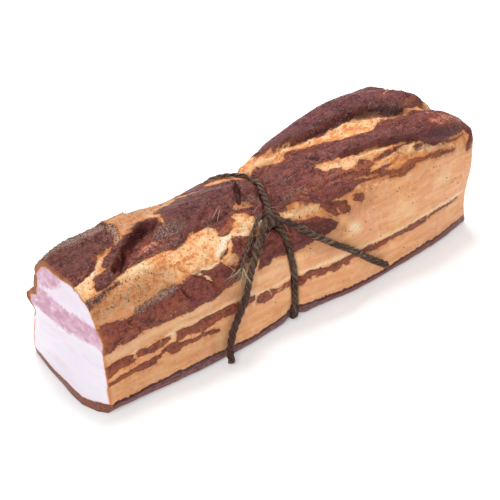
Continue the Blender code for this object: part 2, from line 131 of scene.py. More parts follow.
SIDE_TAIL = (
    (-12.2, 56, 2.6), (-8, 53, 2.6), (-3, 48.9, 1.4), (3, 44, 0.7), (10, 38.7, 0.5), (17, 33, 0.5),
    (24.5, 27.3, 0.5), (33, 20, 0.5), (42, 13, 0.6), (50.5, 7.4, 0.9),
)

# ---- Where the meat shows lean, as outlines on the skin (x, s) ---------------------------------
LEAN = {
    "side_band": (
        (-133, 32.5), (-129, 31), (-125, 31), (-120, 32.8), (-114, 32.4), (-109, 32), (-104, 33.6),
        (-98, 33), (-93, 32.6), (-87, 34), (-79, 34), (-75, 34.2), (-70, 36), (-64, 35), (-58, 37),
        (-52, 38.2), (-46, 38.5), (-42.5, 41), (-42, 45), (-44, 47), (-50, 47), (-54, 50.5), (-60, 50.5),
        (-66, 50.2), (-70, 50.8), (-75, 50.6), (-79, 48.8), (-84, 48.6), (-88, 46.4), (-93, 46.8),
        (-98, 45.2), (-103, 44.6), (-109, 43.4), (-116, 44.8), (-122, 45.6), (-128, 45.8), (-133, 44.5),
    ),
    "by_tail": (
        (-47, 51.5), (-44.5, 56), (-42, 58.5), (-37, 57.5), (-31, 56.5), (-27, 54), (-26, 50), (-30, 46),
        (-38, 44.5), (-43, 46),
    ),
    "under_knot": (
        (-33, 38.3), (-27, 38), (-22, 40), (-17, 39), (-12, 37.5), (-8, 37), (-3, 38), (3, 39), (9, 40),
        (14, 39.3), (19, 40.5), (20.5, 43), (18, 45.5), (13, 48), (9, 50.5), (4, 52.3), (-2, 54),
        (-8, 55.5), (-14, 55.5), (-19, 56.5), (-24.5, 54.5), (-28, 50), (-30.5, 44.5),
    ),
    "cut_top": (
        (-133, 70), (-126, 70.6), (-120, 71), (-114, 72.6), (-110, 75.2), (-106, 79.2), (-103, 81.6),
        (-97, 82.4), (-93, 82.2), (-91, 84.5), (-90.2, 88), (-89.5, 92), (-87, 94.5), (-85.5, 99),
        (-86, 104), (-83.5, 108), (-79, 110.5), (-73, 110), (-67, 112.5), (-61, 117), (-57, 121),
        (-57, 130), (-133, 130),
    ),
    "cut_strip": (
        (-120, 63), (-118.5, 67), (-114.5, 69.3), (-111, 70.2), (-108, 70), (-107, 72.5), (-104.5, 75.5),
        (-101.5, 78.5), (-98, 80.5), (-92, 82.5), (-88, 82.4), (-86, 80), (-91, 76), (-96, 70),
        (-99, 65.4), (-102, 63.8), (-106, 64.2), (-112, 62.8), (-118, 62),
    ),
    "strip_foot": (
        (-133, 57), (-126, 57.2), (-119, 57.8), (-113, 59.4), (-106, 61), (-105.5, 62.3), (-112, 61.6),
        (-119, 60.9), (-126, 60.4), (-133, 60.6),
    ),
    "pocket": (
        (-101, 63.6), (-96, 64.4), (-91, 65.8), (-84, 66.6), (-80, 67.2), (-74, 70), (-67, 79),
        (-65.6, 83), (-65.2, 88.5), (-67.4, 91.8), (-74, 91), (-84, 86.6), (-91, 82.6), (-97, 73),
    ),
    "near_ridge": (
        (-84, 66.8), (-77, 66.4), (-72, 65), (-67, 65.6), (-62, 67.6), (-57, 69), (-50, 69.8),
        (-46.5, 68.4), (-45.5, 63.5), (-42, 61.2), (-38.5, 61.8), (-36, 65), (-33, 68.6), (-29, 70.2),
        (-25, 69), (-23.5, 66), (-22.5, 62.8), (-19, 60.8), (-14, 60.2), (-6, 60.5), (0, 61.2), (-2, 101),
        (-8, 104), (-14, 106), (-20, 112), (-24, 130), (-60, 130), (-59, 119), (-54, 116.5), (-50, 112),
        (-46, 110), (-42.5, 107), (-44, 99), (-54, 95), (-60.5, 91), (-62.5, 86), (-62.8, 82), (-67, 79.5),
        (-72, 79), (-77, 76),
    ),
    "middle": (
        (-4, 61), (0, 61.2), (5, 59.3), (10, 57.3), (16, 54.3), (22, 52.3), (27, 51.3), (32, 52.3),
        (38, 53.6), (44, 54), (50, 52.6), (54, 53), (50, 55.5), (45, 57.2), (48, 58.5), (54, 59.7),
        (56, 61), (54, 62.8), (50, 65), (46, 63.3), (43, 62), (38, 63.5), (33, 65.2), (28, 68), (24, 72),
        (28, 73), (36, 70.3), (45, 68.5), (52, 67.3), (60, 66), (70, 64), (76, 62.5), (82, 59.5),
        (88, 56.5), (95, 54.5), (101, 53.5), (108, 55), (114, 56), (121, 58), (126, 63), (126, 67),
        (116, 69), (108, 70), (104, 74), (97, 76.8), (89, 79.8), (84, 81.4), (79.5, 81.6), (77, 80.2),
        (70, 78.6), (63, 77.4), (57, 78), (52.6, 80), (51, 84.5), (49, 88), (43, 90.2), (37, 92),
        (27, 94.8), (25, 92.6), (17.5, 96.4), (9.5, 99), (-4, 101),
    ),
    "tongues": (
        (14, 56), (14.5, 52.5), (16, 50), (18, 48.8), (20.3, 46), (22.3, 46.5), (22.2, 49.5), (23.6, 50),
        (24, 46), (27.5, 44.6), (30.3, 46.5), (30.4, 49.8), (28, 51), (28, 54), (20, 57),
    ),
    "spot": ((32.6, 50.2), (34.5, 47.3), (37, 46), (39, 47.5), (38.5, 50.3), (35.5, 51)),
    "back_ridge": (
        (12, 103), (15, 101.6), (21, 100.9), (29.5, 98.2), (37, 97), (46, 95.2), (52.5, 92.4), (60, 92),
        (68.5, 91.4), (76.5, 91), (81, 89.5), (86.5, 86), (92, 81.6), (97, 79), (101, 78.4), (106, 79),
        (112, 79.4), (119, 81.6), (133, 84), (133, 128), (60, 128), (14, 124),
    ),
    "far_knob": ((102, 58), (112, 59), (120, 61), (133, 64), (133, 70), (120, 74), (112, 73.5), (104, 72)),
    "end_rim": ((117, 46), (119.5, 47), (122, 52), (133, 54), (133, 66), (120, 62), (117.5, 56)),
    "upper_streak_1": (
        (-133, 18.3), (-126, 18.5), (-121, 20), (-116, 19.5), (-110.5, 19.5), (-110.5, 22), (-112, 24.3),
        (-117, 25.2), (-122, 25), (-127, 24), (-133, 23.5),
    ),
    "upper_streak_2": (
        (-109.3, 21.5), (-104, 20.8), (-100, 19.8), (-96, 20.8), (-91, 21.8), (-88.5, 23), (-89.5, 25),
        (-94, 25.6), (-98, 25.2), (-102, 24), (-106, 25), (-109, 24),
    ),
    "upper_streak_3": (
        (-86, 20.3), (-80, 22), (-75, 21), (-70, 20.6), (-62, 21.5), (-55, 21.5), (-49, 22), (-44, 22),
        (-38, 23.3), (-37.7, 26), (-43, 26.8), (-50, 26.3), (-55, 27.6), (-62, 27.2), (-70, 27.4),
        (-74, 26.2), (-79, 25.8), (-83, 26.7), (-86.5, 26),
    ),
    "broken_streak": (
        (-37, 21.3), (-33, 20), (-28, 18), (-25, 18), (-23, 20.5), (-20.5, 19.7), (-15, 19), (-10, 18),
        (-5, 16.5), (-2.5, 17.3), (-1, 20), (3, 19.6), (6, 17.6), (9, 18), (12, 19.2), (15, 17.4),
        (19, 18), (24, 18.6), (30, 19), (36, 18.4), (42, 18), (50, 18), (60, 18.4), (68, 18), (76, 17.8),
        (84, 18.1), (85, 18.9), (84, 19.6), (76, 20), (68, 20.3), (60, 20.7), (50, 20.7), (42, 20.9),
        (34, 21.6), (28, 22), (22, 22), (10, 22.3), (5, 23), (0, 24), (-3, 23), (-8, 21.8), (-15, 22.6),
        (-20.5, 21.5), (-24, 23.6), (-30, 24.6), (-36, 24),
    ),
    "lower_streak_1": (
        (-133, 13.3), (-124, 13), (-119, 14), (-103, 14), (-97, 15.2), (-96, 16.2), (-97, 17.2),
        (-102, 17), (-108, 16.6), (-119, 16), (-124, 15.2), (-133, 15.3),
    ),
    "lower_streak_2": (
        (-96, 16.6), (-92, 17.2), (-91, 15.4), (-88, 15), (-84, 16.4), (-78, 17), (-72, 17), (-66, 16),
        (-61, 15.6), (-61.5, 17.4), (-68, 18.6), (-72, 19.6), (-76, 18.2), (-80, 19), (-84, 19.6),
        (-89, 20.1), (-94, 19.2), (-97, 17.2),
    ),
}
FAT_ISLANDS = {
    "side_island": ((-54, 48), (-54, 51), (-50, 53), (-45, 51.5), (-43, 48), (-46, 46.5)),
    "back_slope": ((3, 108), (3, 102), (8, 100), (13, 101), (15, 104), (13, 111), (6, 114)),
    "behind_pocket": (
        (-89, 85.6), (-84, 86.8), (-78, 89.8), (-70, 92.6), (-64.5, 92), (-62, 94.6), (-56, 97), (-49, 99),
        (-43.5, 101.5), (-42, 107), (-48, 110), (-60, 106.5), (-72, 104), (-80, 103), (-83, 99),
        (-85.6, 94.5), (-88, 91),
    ),
    "foam": ((-27, 71.5), (-24, 72), (-18, 71), (-18.5, 74), (-24, 76), (-27, 75)),
}
LEAN_LINES = {  # thin streaks of lean: ((x, s, half width), ...)
    "far_line": (
        (50, 54, 1), (56, 54, 0.9), (60, 52.6, 1), (66, 51.2, 1.1), (80, 51.3, 0.9), (100, 49.4, 0.9),
        (107, 49, 0.4),
    ),
    "far_line_2": ((60, 50.4, 0.3), (68, 49, 0.7), (78, 50.6, 0.6), (90, 51.6, 0.5), (98, 51.2, 0.3)),
    "far_wisp": ((100, 53.4, 0.4), (108, 53.2, 0.6), (115, 54.4, 0.4)),
    "far_streak_end": ((86, 19.1, 0.6), (95, 19.4, 0.6), (113, 19.9, 0.3)),
    "far_thread": ((36, 20.6, 0.3), (60, 20.4, 0.3), (84, 20, 0.25)),
    "back_streak": (
        (-131, 152, 1.8), (-80, 150, 1.2), (-30, 153, 1.5), (30, 151.5, 1.2), (80, 153, 0.9),
        (112, 153, 0.2),
    ),
    "back_streak_low": ((-131, 159, 1), (-90, 158, 1.1), (-52, 160, 0.3)),
}
FAT_LINES = {
    "tendon": ((-71, 50.4, 0.4), (-66, 48.4, 0.7), (-62.5, 44.5, 0.5)),
    "tendon_2": ((-66, 50.6, 0.4), (-60, 49.6, 0.7), (-56, 49.8, 0.3)),
    "ridge_line": ((98, 93.5, 0.4), (104, 97, 0.5), (110, 99.5, 0.4), (118, 103, 0.5), (126, 108, 0.4)),
    "ridge_edge": ((-46, 104, 2.2), (-40, 103, 2.4), (-35.5, 99.8, 1.9), (-31.5, 96.4, 0.9)),
    "ridge_under_loop": (
        (-23, 98.2, 0.6), (-17, 99.9, 1.6), (-11, 100.6, 2), (-5, 99.4, 1.5), (-1, 97.2, 0.6),
    ),
    "streak_slit_1": ((-112, 20.5, 0.3), (-109.8, 25.5, 0.6)),
    "streak_slit_2": ((-97, 20, 0.25), (-93.5, 25.5, 0.3)),
    "streak_slit_3": ((-57, 20.6, 0.2), (-60, 28, 0.3)),
    "streak_slit_4": ((-72, 21, 0.2), (-74, 24, 0.35)),
    "streak_slit_5": ((-27.5, 17.5, 0.5), (-26, 21, 0.3), (-28, 24.5, 0.5)),
    "streak_slit_6": ((-17, 18, 0.3), (-15, 20.6, 0.5), (-17, 23, 0.4)),
    "streak_slit_7": ((-24, 21.4, 0.35), (-19, 20.6, 0.5)),
    "middle_fat_1": ((36, 57.6, 0.3), (44, 55.8, 0.6), (52, 54.6, 0.6)),
    "middle_fat_2": ((20, 53, 0.3), (27, 51.6, 0.8), (34, 51.6, 0.7)),
    "middle_fat_3": ((40, 63.4, 0.6), (43, 61.2, 0.4), (46, 60.6, 0.2)),
}
PALE_AND_HIGHLIGHT = {  # creamy or whitish fat, and painted highlights on the side fat (the glow strokes): (strength, ((x, s, half width), ...))
    "wedge": (0.75, (
        (-131, 67, 3.5), (-124, 67.5, 3.5), (-117, 70.5, 2), (-111, 74, 1.6), (-105, 78.4, 0.9),
    )),
    "wedge_edge": (1, ((-129, 69.4, 0.7), (-120, 70.2, 0.8), (-113, 72.8, 0.8), (-107, 77.4, 0.5))),
    "white_streak": (1, ((-54.5, 53.4, 1.2), (-50, 56, 2.6), (-45, 59.6, 2.9), (-40, 61.6, 1.6))),
    "white_spot": (1, ((-36, 58.6, 1.3), (-32, 58.2, 1.8))),
    "knot_fat": (0.7, ((-33, 62, 1.5), (-27, 63, 2.5), (-24, 61.5, 2), (-19, 60, 0.6))),
    "tendon": (0.9, ((-71, 50.2, 0.6), (-66, 48.6, 1), (-62, 44, 0.6))),
    "tendon_2": (1, ((-66, 50.8, 0.5), (-60, 49.8, 0.9), (-56, 50, 0.4))),
    "above_streak_near": (0.7, (
        (-90, 24, 2), (-84, 27.6, 1.5), (-72, 28, 1), (-58, 28.6, 0.8), (-40, 27.6, 1),
    )),
    "above_streak_far": (0.8, (
        (-40, 27, 1), (-20, 24.3, 1), (2, 24.6, 1.4), (20, 23.6, 1.3), (50, 21.6, 0.9),
        (118, 21.4, 0.9),
    )),
    "under_band": (0.55, ((-131, 28, 2), (-112, 28.5, 2), (-90, 30.5, 1.5), (-66, 33, 1.2))),
    # the glow strokes, down to foot_glow: painted highlights on the side fat
    "side_glow": (0.85, ((29, 36, 3.2), (32, 34.5, 3.4))),
    "side_glow_2": (0.35, ((60, 31, 5), (72, 30, 5))),
    "side_glow_far": (0.4, ((92, 36, 4), (98, 37, 5))),
    "side_glow_near": (0.4, ((-34, 33, 2), (-20, 33, 2.5), (-4, 31, 2.5))),
    "foot_glow": (0.35, ((-60, 14, 3), (-62, 8, 3))),
    "by_gap": (0.9, ((-112, 23, 1), (-109, 25, 0.8))),
    "streak_slits": (0.9, ((-91, 25.4, 0.8), (-87.5, 25.6, 1))),
    "broken_gap": (0.7, ((-38, 22, 1), (-33, 26, 0.8), (-22, 23.4, 0.8))),
    "strip_foot": (0.75, ((-106, 61.8, 0.8), (-99, 63, 1.2), (-92, 63.6, 1.6), (-88, 64, 1))),
    "pink_spot": (0.7, ((-101, 60.8, 2.5), (-94, 61.8, 2.2), (-90, 62.4, 1.4))),
    "top_cream": (0.6, ((-66, 53, 1.6), (-62, 55, 2), (-58, 57, 1.6))),
    "top_cream_2": (0.5, ((-58, 63, 2), (-51, 61, 2.5), (-48, 65, 2))),
    "seam_edge": (0.5, ((8, 101, 0.6), (30, 96.6, 0.5), (55, 92, 0.6), (78, 90, 0.6), (92, 82, 0.5))),
    "far_yellow": (0.6, ((74, 58.5, 1.6), (84, 56, 1.8), (94, 54, 1.4), (102, 53.4, 0.8))),
    "wedge_fat": (0.5, ((26, 71.6, 0.6), (34, 67, 1.6), (42, 65, 1.6), (52, 65.6, 1), (66, 64, 1))),
    "by_loop": (0.6, ((-5, 57.5, 2), (4, 56.5, 1.6), (10, 54.6, 1.2))),
}
RUST = {  # lean and fat that smoke and heat turned a glowing orange brown
    "slit": (1, ((-107, 80.4, 0.8), (-102, 81.8, 1.2), (-97.5, 81.4, 0.8))),
    "cut_edge": (0.9, ((-129.5, 4, 1), (-129.5, 20, 1.8), (-129, 36, 4.5), (-129.5, 46, 2))),
    "cut_edge_top": (0.8, ((-129.5, 66, 1), (-129.5, 84, 2.2), (-129.5, 104, 2.5), (-129.5, 130, 4))),
    "streak_near": (0.8, ((-131, 20, 3), (-124, 20, 1.8), (-112, 18.6, 1), (-104, 19.6, 0.6))),
    "low_streak_near": (0.8, ((-131, 14.4, 1.6), (-112, 15, 1.2), (-98, 16.4, 0.8))),
    "low_streak": (0.5, ((-96, 16.4, 0.8), (-84, 16.6, 1), (-64, 17, 1))),
    "band_near": (0.3, ((-128, 36, 3), (-118, 38, 4), (-110, 37, 3))),
    "band_middle": (0.25, ((-100, 36, 3), (-90, 39, 4), (-82, 42, 3))),
    "far_knob": (0.35, ((106, 68, 2), (112, 66, 3), (120, 65, 4), (128, 66, 4))),
    "far_knob_top": (0.8, ((104, 77, 1.5), (116, 76, 2), (124, 76, 3), (128, 78, 4))),
    "far_back": (0.45, ((100, 81.5, 1.5), (108, 83, 2.5), (116, 84, 3), (126, 86, 4))),
    "knob_foot": (0.8, ((101, 54.5, 1), (108, 53.4, 1.8), (116, 54, 2.2))),
    "by_white_streak": (0.9, ((-46, 64, 1.4), (-42, 62.5, 1.8), (-38, 63.5, 2), (-34, 67, 1.4))),
    "front_muscle": (0.35, ((6, 63, 4), (24, 60, 5), (40, 57, 4))),
    "wedge_lean": (0.55, ((34, 60, 2), (42, 59.5, 3), (52, 60, 3))),
    "middle_island": (0.9, ((47, 90.6, 0.8), (51, 88, 1.8), (56, 84, 1.6), (60, 80, 1))),
    "seam_stain": (0.5, ((62, 88, 0.8), (66, 85.6, 1.2), (70, 84.6, 0.8))),
    "streaky": (0.85, ((48, 53.5, 2), (62, 51.4, 2.4), (80, 51.2, 2), (104, 49.8, 1.4))),
    "side_mottle": (0.45, ((36, 42, 2), (48, 43, 3), (62, 41, 3.5), (84, 42, 3), (94, 41, 2.5))),
    "pocket_wall": (0.4, ((-98, 66, 1.5), (-90, 70, 2), (-80, 77, 3))),
    "band_fold": (0.75, ((-110.4, 39, 0.9), (-107, 37, 1.3), (-105.6, 34, 1))),
    "ridge_edge": (0.4, ((-46, 104, 1.6), (-40, 103.4, 1.6), (-35.5, 100.6, 1.3), (-31.5, 97.4, 0.8))),
    "ridge_under_loop": (0.4, (
        (-23, 98, 0.8), (-17, 99.4, 1.5), (-11, 100, 1.6), (-5, 98.8, 1.4), (-1, 97, 0.8),
    )),
    "under_tongues": (0.6, ((14, 51, 1.5), (24, 45.5, 1.5), (34, 46, 1.5), (40, 48, 1.5))),
}
SMOKE_AND_SHADE = {  # darker, browner fat and lean: more smoke, and painted shade by the ridges, the pocket and the twine
    "behind_pocket": (0.55, ((-90, 90, 3), (-80, 95, 7), (-66, 98, 6), (-44, 103, 5), (-30, 104, 4))),
    "by_side_tail_top": (0.35, ((-3, 40, 3), (6, 36, 4), (14, 31, 3.5))),
    "behind_pocket_edge": (0.9, ((-86, 101, 2.5), (-74, 103, 2.5), (-62, 104, 2))),
    "pocket_rim": (0.9, ((-92, 82, 1), (-84, 85, 1), (-76, 88.8, 1.2), (-68, 91.4, 1.2))),
    "strip_shade": (0.55, ((-106, 72, 3), (-100, 76, 3), (-93, 80, 2.5))),
    "near_side": (0.24, ((-131, 29, 5), (-96, 30, 5), (-62, 32, 5))),
    "near_foot": (0.24, ((-131, 9, 6), (-96, 10, 6), (-62, 11, 6))),
    "near_top": (0.42, ((-131, 52, 7), (-112, 54, 7), (-96, 54, 6), (-84, 56, 5))),
    "end_notch": (0.6, ((98, 80, 2.5), (106, 80.5, 2.5), (116, 82, 3))),
    "side_dusk": (0.35, ((-64, 12, 4), (-66, 5, 4))),
    "side_dusk_2": (0.4, ((-58, 34, 3), (-52, 33, 4), (-46, 30, 3))),
    "top_dusk": (0.4, ((-126, 56, 2), (-118, 55, 3), (-108, 57, 2))),
    "below_crust": (0.4, ((-104, 48, 2), (-94, 49.5, 2), (-84, 50.5, 2))),
    "by_loop": (0.5, ((-8, 97, 4), (-10, 88, 3), (-8, 76, 3))),
    "ridge_foot": (0.7, ((-72, 67, 1.5), (-58, 70.5, 1.2), (-46, 70.5, 1.5), (-34, 71.5, 1.5))),
    "back_ridge_foot": (0.7, ((18, 102, 1), (44, 98, 1.6), (70, 95, 1.8), (86, 91, 2.6), (98, 85, 2.6))),
    "cut_top": (0.5, ((-128, 82, 9), (-112, 86, 10), (-98, 89, 6))),
    "ridge_top": (0.42, ((-62, 82, 9), (-44, 86, 11), (-26, 88, 9))),
    "middle_ridge_foot": (0.6, (
        (40, 71, 1.2), (58, 68.6, 1.6), (74, 65.6, 2), (88, 61, 2.4), (100, 58, 2),
    )),
    "tongue": (0.45, ((2, 44, 3), (10, 46, 3.5), (20, 45, 3))),
    "by_wedge": (0.3, ((30, 44, 4), (44, 46, 3))),
    "by_side_tail": (0.4, ((-4, 43, 3), (4, 46, 3), (14, 43, 3), (22, 38, 3))),
    "under_tail": (0.6, ((-44, 49, 3), (-36, 48, 3), (-30, 52, 2))),
}
WARM = {  # lean of a lighter, warmer red, and pinkish where the strength is near 1; on the pocket wall the pink is a painted highlight
    "upper_streaks": (0.65, ((-131, 21.5, 5), (-100, 22.5, 4), (-70, 24, 4.5), (-38, 23.5, 4.5))),
    "lower_streaks": (0.65, ((-131, 14.2, 3), (-96, 16.4, 3), (-60, 16.5, 3.5))),
    "broken_streak": (0.55, ((-40, 22, 4), (0, 20, 4), (40, 19.6, 3), (116, 19.8, 3))),
    "band": (0.5, ((-131, 38, 6), (-112, 38, 6), (-96, 38.5, 5), (-84, 40, 6))),
    "band_edge": (0.9, ((-130, 39, 1.5), (-126, 40, 1.2))),
    "far_knob": (0.95, (
        (98, 64, 1.6), (102, 63.2, 3), (107, 63.6, 3.2), (113, 63.5, 2.6), (124, 65, 3),
    )),
    "far_rim": (1, ((101, 69, 0.8), (108, 67, 1), (115, 64.6, 1.2), (119, 62, 1))),
    "rind_near": (0.35, ((-131, 1, 5), (-110, 1.5, 5), (-96, 2, 4))),
    "rind_far": (0.9, ((20, 1.5, 5), (50, 1.5, 5), (90, 2.5, 6), (127, 3, 8))),
    "far_line": (0.6, ((50, 54, 2), (66, 51, 2.4), (84, 51, 2), (108, 50.5, 2))),
    "wedge": (0.45, ((36, 60, 2.5), (48, 60.4, 3), (56, 61, 2))),
    "tongues": (0.45, ((14, 52, 3), (22, 47, 3), (30, 48, 3), (38, 49, 2.4))),
    "front_muscle": (0.3, ((4, 62, 3), (22, 60.5, 3.5), (40, 57.5, 3))),
    "by_white_streak": (0.85, ((-43, 63.6, 1.4), (-38.5, 64.4, 2.4), (-34.6, 66.6, 2))),
    "slit": (0.9, ((-107, 80.4, 0.8), (-102, 81.8, 1), (-97.5, 81.4, 0.8))),
    "wall_foot": (1.1, ((-90, 70.6, 1), (-84.5, 71.6, 2), (-79, 72.4, 2.2), (-73.5, 73.4, 1.2))),
    "by_tail": (0.35, ((-44, 53, 3), (-36, 53, 3.5), (-28, 50, 3))),
    "ridge_foot": (0.4, ((-84, 69, 2), (-74, 70, 3), (-66, 71, 2.5))),
    "back_knob": (0.7, ((93, 93.5, 1.6), (97, 91.5, 1.2))),
    # painted highlight on the shiny pocket wall
    "pocket_wall": (0.75, ((-88, 73, 1.8), (-80, 77.4, 2.8), (-71, 82.4, 2.8))),
    "muscle": (0.42, ((-78, 44, 4), (-70, 44, 5), (-60, 42, 4))),
    "under_knot": (0.40, ((-24, 48, 4), (-14, 49, 5), (-6, 46, 3))),
    "middle": (0.30, ((2, 64, 4), (22, 64, 5), (40, 60, 4))),
}
WINE_SHEEN_AND_SHADE = {  # lean tinted a cool wine colour: partly its own tone, partly painted sheen on the ridge tops, and painted shade below the far knob
    "back_ridge": (0.7, ((24, 103, 3), (50, 101, 5), (80, 98, 5), (100, 92, 4))),
    "knob_shade": (0.9, ((88, 58.5, 3), (96, 58, 3.2), (103, 57.2, 2.4), (110, 56, 1.6))),
    "middle_front": (0.5, ((6, 60, 2), (24, 58.5, 2.5), (40, 56, 2))),
    "by_knot": (0.6, ((-27, 66, 1.5), (-20, 64, 2.5), (-15, 62, 1.5))),
    "ridge": (0.35, ((-60, 84, 4), (-40, 86, 6), (-24, 88, 5))),
    "under_knot": (0.25, ((-24, 48, 4), (-14, 48, 5), (-4, 45, 3))),
    "muscle": (0.4, ((-74, 46, 3), (-66, 45, 4))),
    "by_tail": (0.6, ((-45, 57, 1), (-41, 56, 1.6))),
}
CRUST = {  # dried spice crust, grey brown
    "cut_top": (0.95, ((-131, 100, 5), (-118, 100, 5.5), (-104, 99, 5), (-92, 97, 4))),
    "cut_back": (1.1, ((-131, 110, 10), (-112, 109, 9), (-98, 106, 6), (-88, 103, 3))),
    "back_shoulder": (0.6, ((-120, 120, 6), (-92, 115, 5), (-70, 117, 3))),
    "cut_knob": (0.9, ((-90, 85, 1.5), (-88, 89, 2.5), (-86, 94, 3))),
    "strip_foot": (0.7, ((-130, 58, 1.8), (-122, 58.6, 2), (-114, 59.5, 1.5))),
    "band_edge": (0.9, ((-104, 45, 1.6), (-96, 46, 1.6), (-88, 46.8, 2.2), (-82, 47.6, 2))),
    "strip": (0.35, ((-116, 65, 4), (-104, 68, 4))),
    "ridge_start": (0.78, ((-74, 75, 3), (-68, 76, 5), (-61, 75, 4))),
    "near_fat_dust": (0.24, ((-126, 53, 4), (-112, 55, 5), (-98, 55, 5), (-88, 57, 3))),
    "ridge_start_foot": (0.6, ((-80, 67, 1), (-74, 68, 2.2), (-66, 68, 2))),
    "ridge": (0.2, ((-56, 78, 6), (-44, 80, 7), (-34, 84, 8))),
    "ridge_end": (0.45, ((-30, 74, 2.5), (-22, 73, 2.5), (-16, 74, 3), (-8, 70, 3))),
    "wall_foot": (0.5, ((-90, 67.4, 1.2), (-84, 69.4, 1.4), (-80, 71, 1))),
    "behind_loop": (0.6, ((-2, 64, 2.5), (2, 66, 2.5), (10, 66, 2))),
    "behind_loop_top": (0.5, ((2, 77, 2), (8, 76, 2.5), (14, 74, 2))),
    "tongue_lumps": (0.5, ((22, 78.6, 1.5), (26, 79.5, 1.5))),
    "far_back": (0.3, ((20, 116, 8), (60, 118, 9), (110, 116, 8))),
}
GROOVES = {  # (depth, ((x, s, half width), ...))
    "under_back_ridge": (2, (
        (18, 99.6, 0.8), (30, 97.4, 1.4), (42, 94.8, 1.5), (56, 92.8, 1.8), (70, 91.2, 2),
        (80, 88.8, 2.4), (89, 83, 2.2), (97, 78, 1.2),
    )),
    "under_middle_ridge": (1.6, (
        (40, 69.2, 0.8), (50, 67.4, 1.2), (62, 65.4, 1.4), (72, 63.5, 1.5), (80, 60.6, 1.5), (88, 57, 1.4),
        (98, 54, 0.9),
    )),
    "cut_top_front": (0.9, (
        (-131, 69.7, 0.8), (-118, 71.4, 0.8), (-109, 76.4, 0.9), (-103, 80.8, 1), (-97, 81.4, 1),
    )),
    "near_ridge_front": (0.9, ((-72, 65, 0.9), (-60, 68.5, 0.9), (-46, 70, 0.9), (-30, 71, 0.9))),
    "crevice": (2.8, ((-22, 75, 1), (-19.5, 79, 1.6), (-16, 84, 1.8), (-12, 89, 0.8), (-8, 95, 0.4))),
    "strip_line": (0.8, ((-119, 61.6, 0.5), (-112, 62.2, 0.6), (-103, 64.2, 0.6))),
    "pocket_foot": (2, ((-102, 64, 0.6), (-98.6, 68, 1.2), (-95, 74, 1.4), (-92, 77, 1))),
    "wall_fold_1": (0.9, ((-91, 70, 0.7), (-84, 76, 0.9), (-79, 80.5, 0.6))),
    "wall_fold_2": (0.8, ((-86, 69.5, 0.7), (-79, 74.6, 0.9), (-74, 79, 0.6))),
    "crack": (1, ((-79.4, 48.5, 0.6), (-78.8, 44.5, 0.7), (-77.6, 41.5, 0.7), (-75, 39.8, 0.5))),
    "crack_edge": (0.8, ((-71, 49.4, 0.5), (-66, 46.8, 0.8), (-63, 43.6, 0.7), (-61, 41, 0.5))),
    "band_notch": (1, ((-110.6, 42, 0.6), (-107, 39, 1), (-104.4, 36, 1), (-103, 33, 0.6))),
    "muscle_line": (0.8, ((14, 62, 0.7), (24, 61.5, 0.8), (34, 59.6, 0.8), (44, 56.8, 0.7))),
    "white_streak_foot": (1.2, ((-53, 51.8, 0.6), (-48, 53.6, 0.9), (-44.5, 56.8, 0.6))),
    "tongue_crack": (1.4, ((28, 79.5, 0.6), (29.2, 77.6, 1.4), (31, 75, 0.8))),
    "middle_crack": (1, ((15, 84, 0.8), (15.8, 82, 1.2), (18, 80.6, 0.8))),
    "far_fat_crack": (0.9, ((70.4, 62.4, 0.5), (70, 59.6, 0.8), (71.5, 57.6, 0.5))),
    "rind_line": (0.7, (
        (-131, 3.2, 0.6), (-118, 3.6, 0.7), (-95, 4.9, 0.8), (-70, 5.3, 0.8), (-50, 4.6, 0.7),
        (-30, 4.5, 0.6), (-12, 5.5, 0.6), (10, 4.4, 0.6), (45, 4, 0.6), (75, 5, 0.7), (95, 5.4, 0.7),
        (118, 5.9, 0.8),
    )),
}
PIT = {  # deep shade in the pocket and the narrow crevices
    "pocket": (1, (
        (-92, 78.6, 0.6), (-86, 82, 1), (-80, 85.4, 1.3), (-74, 87.6, 1.5), (-69, 88.4, 1.1),
    )),
    "pocket_foot": (0.9, ((-101, 66, 0.4), (-98, 70, 0.7), (-95, 74, 0.9), (-92, 78.6, 0.8))),
    "crevice": (0.95, ((-21.5, 76, 0.8), (-19, 79.5, 1.5), (-16, 84, 1.7), (-12, 89, 0.8), (-9, 94, 0.4))),
    "under_back_ridge": (0.85, (
        (28, 98.4, 0.3), (40, 95.8, 0.5), (56, 93.4, 0.6), (70, 92, 0.8), (80, 89.6, 1.8),
        (88, 85.4, 2.8), (95, 80.6, 1.8),
    )),
    "under_middle_ridge": (0.5, (
        (44, 68.6, 0.3), (58, 66.4, 0.5), (70, 64.4, 0.9), (78, 62.4, 0.7), (88, 58, 0.5),
    )),
    "tongue_crack": (0.9, ((28, 79, 0.5), (29.2, 77.6, 1.3), (31, 75.4, 0.6))),
    "middle_crack": (0.6, ((15, 84, 0.6), (15.8, 82, 1), (18, 80.6, 0.6))),
    "strip_tip": (0.7, ((-103.5, 65, 0.8), (-101, 66.4, 1))),
    "white_streak_foot": (0.8, ((-53, 51.6, 0.5), (-48.5, 53.2, 0.7), (-46, 55, 0.5))),
    "crack": (0.7, ((-79.2, 46.5, 0.5), (-78.4, 43, 0.7), (-76.4, 40.6, 0.5))),
    "band_dark": (0.5, ((-107, 42.6, 1), (-103, 40, 1.6), (-99, 38, 1.6))),
    "knot_shade": (0.7, ((-19, 55.5, 1.2), (-14, 54.5, 1.6), (-9, 55.6, 1))),
    "under_tail": (0.6, ((-37, 51, 1.4), (-33, 53, 1.4))),
    "far_fat_crack": (0.5, ((70.4, 62.4, 0.4), (70, 59.6, 0.6), (71.5, 57.6, 0.4))),
}
RIND_TOP = (  # the rind's upper edge on the show side: (x, s)
    (-131, 2.6), (-118, 3.2), (-95, 4.5), (-70, 5), (-50, 4.2), (-30, 4.2), (-12, 5.2), (10, 4),
    (45, 3.4), (75, 4.6), (95, 5), (118, 5.6), (131, 5.8),
)
BACK_RIND_TOP, FAR_RIND_TOP = 4, 5.4  # its height on the back, and on the far end beside the show side
BACK_EDGE = 118  # the place s from which height alone sets what shows
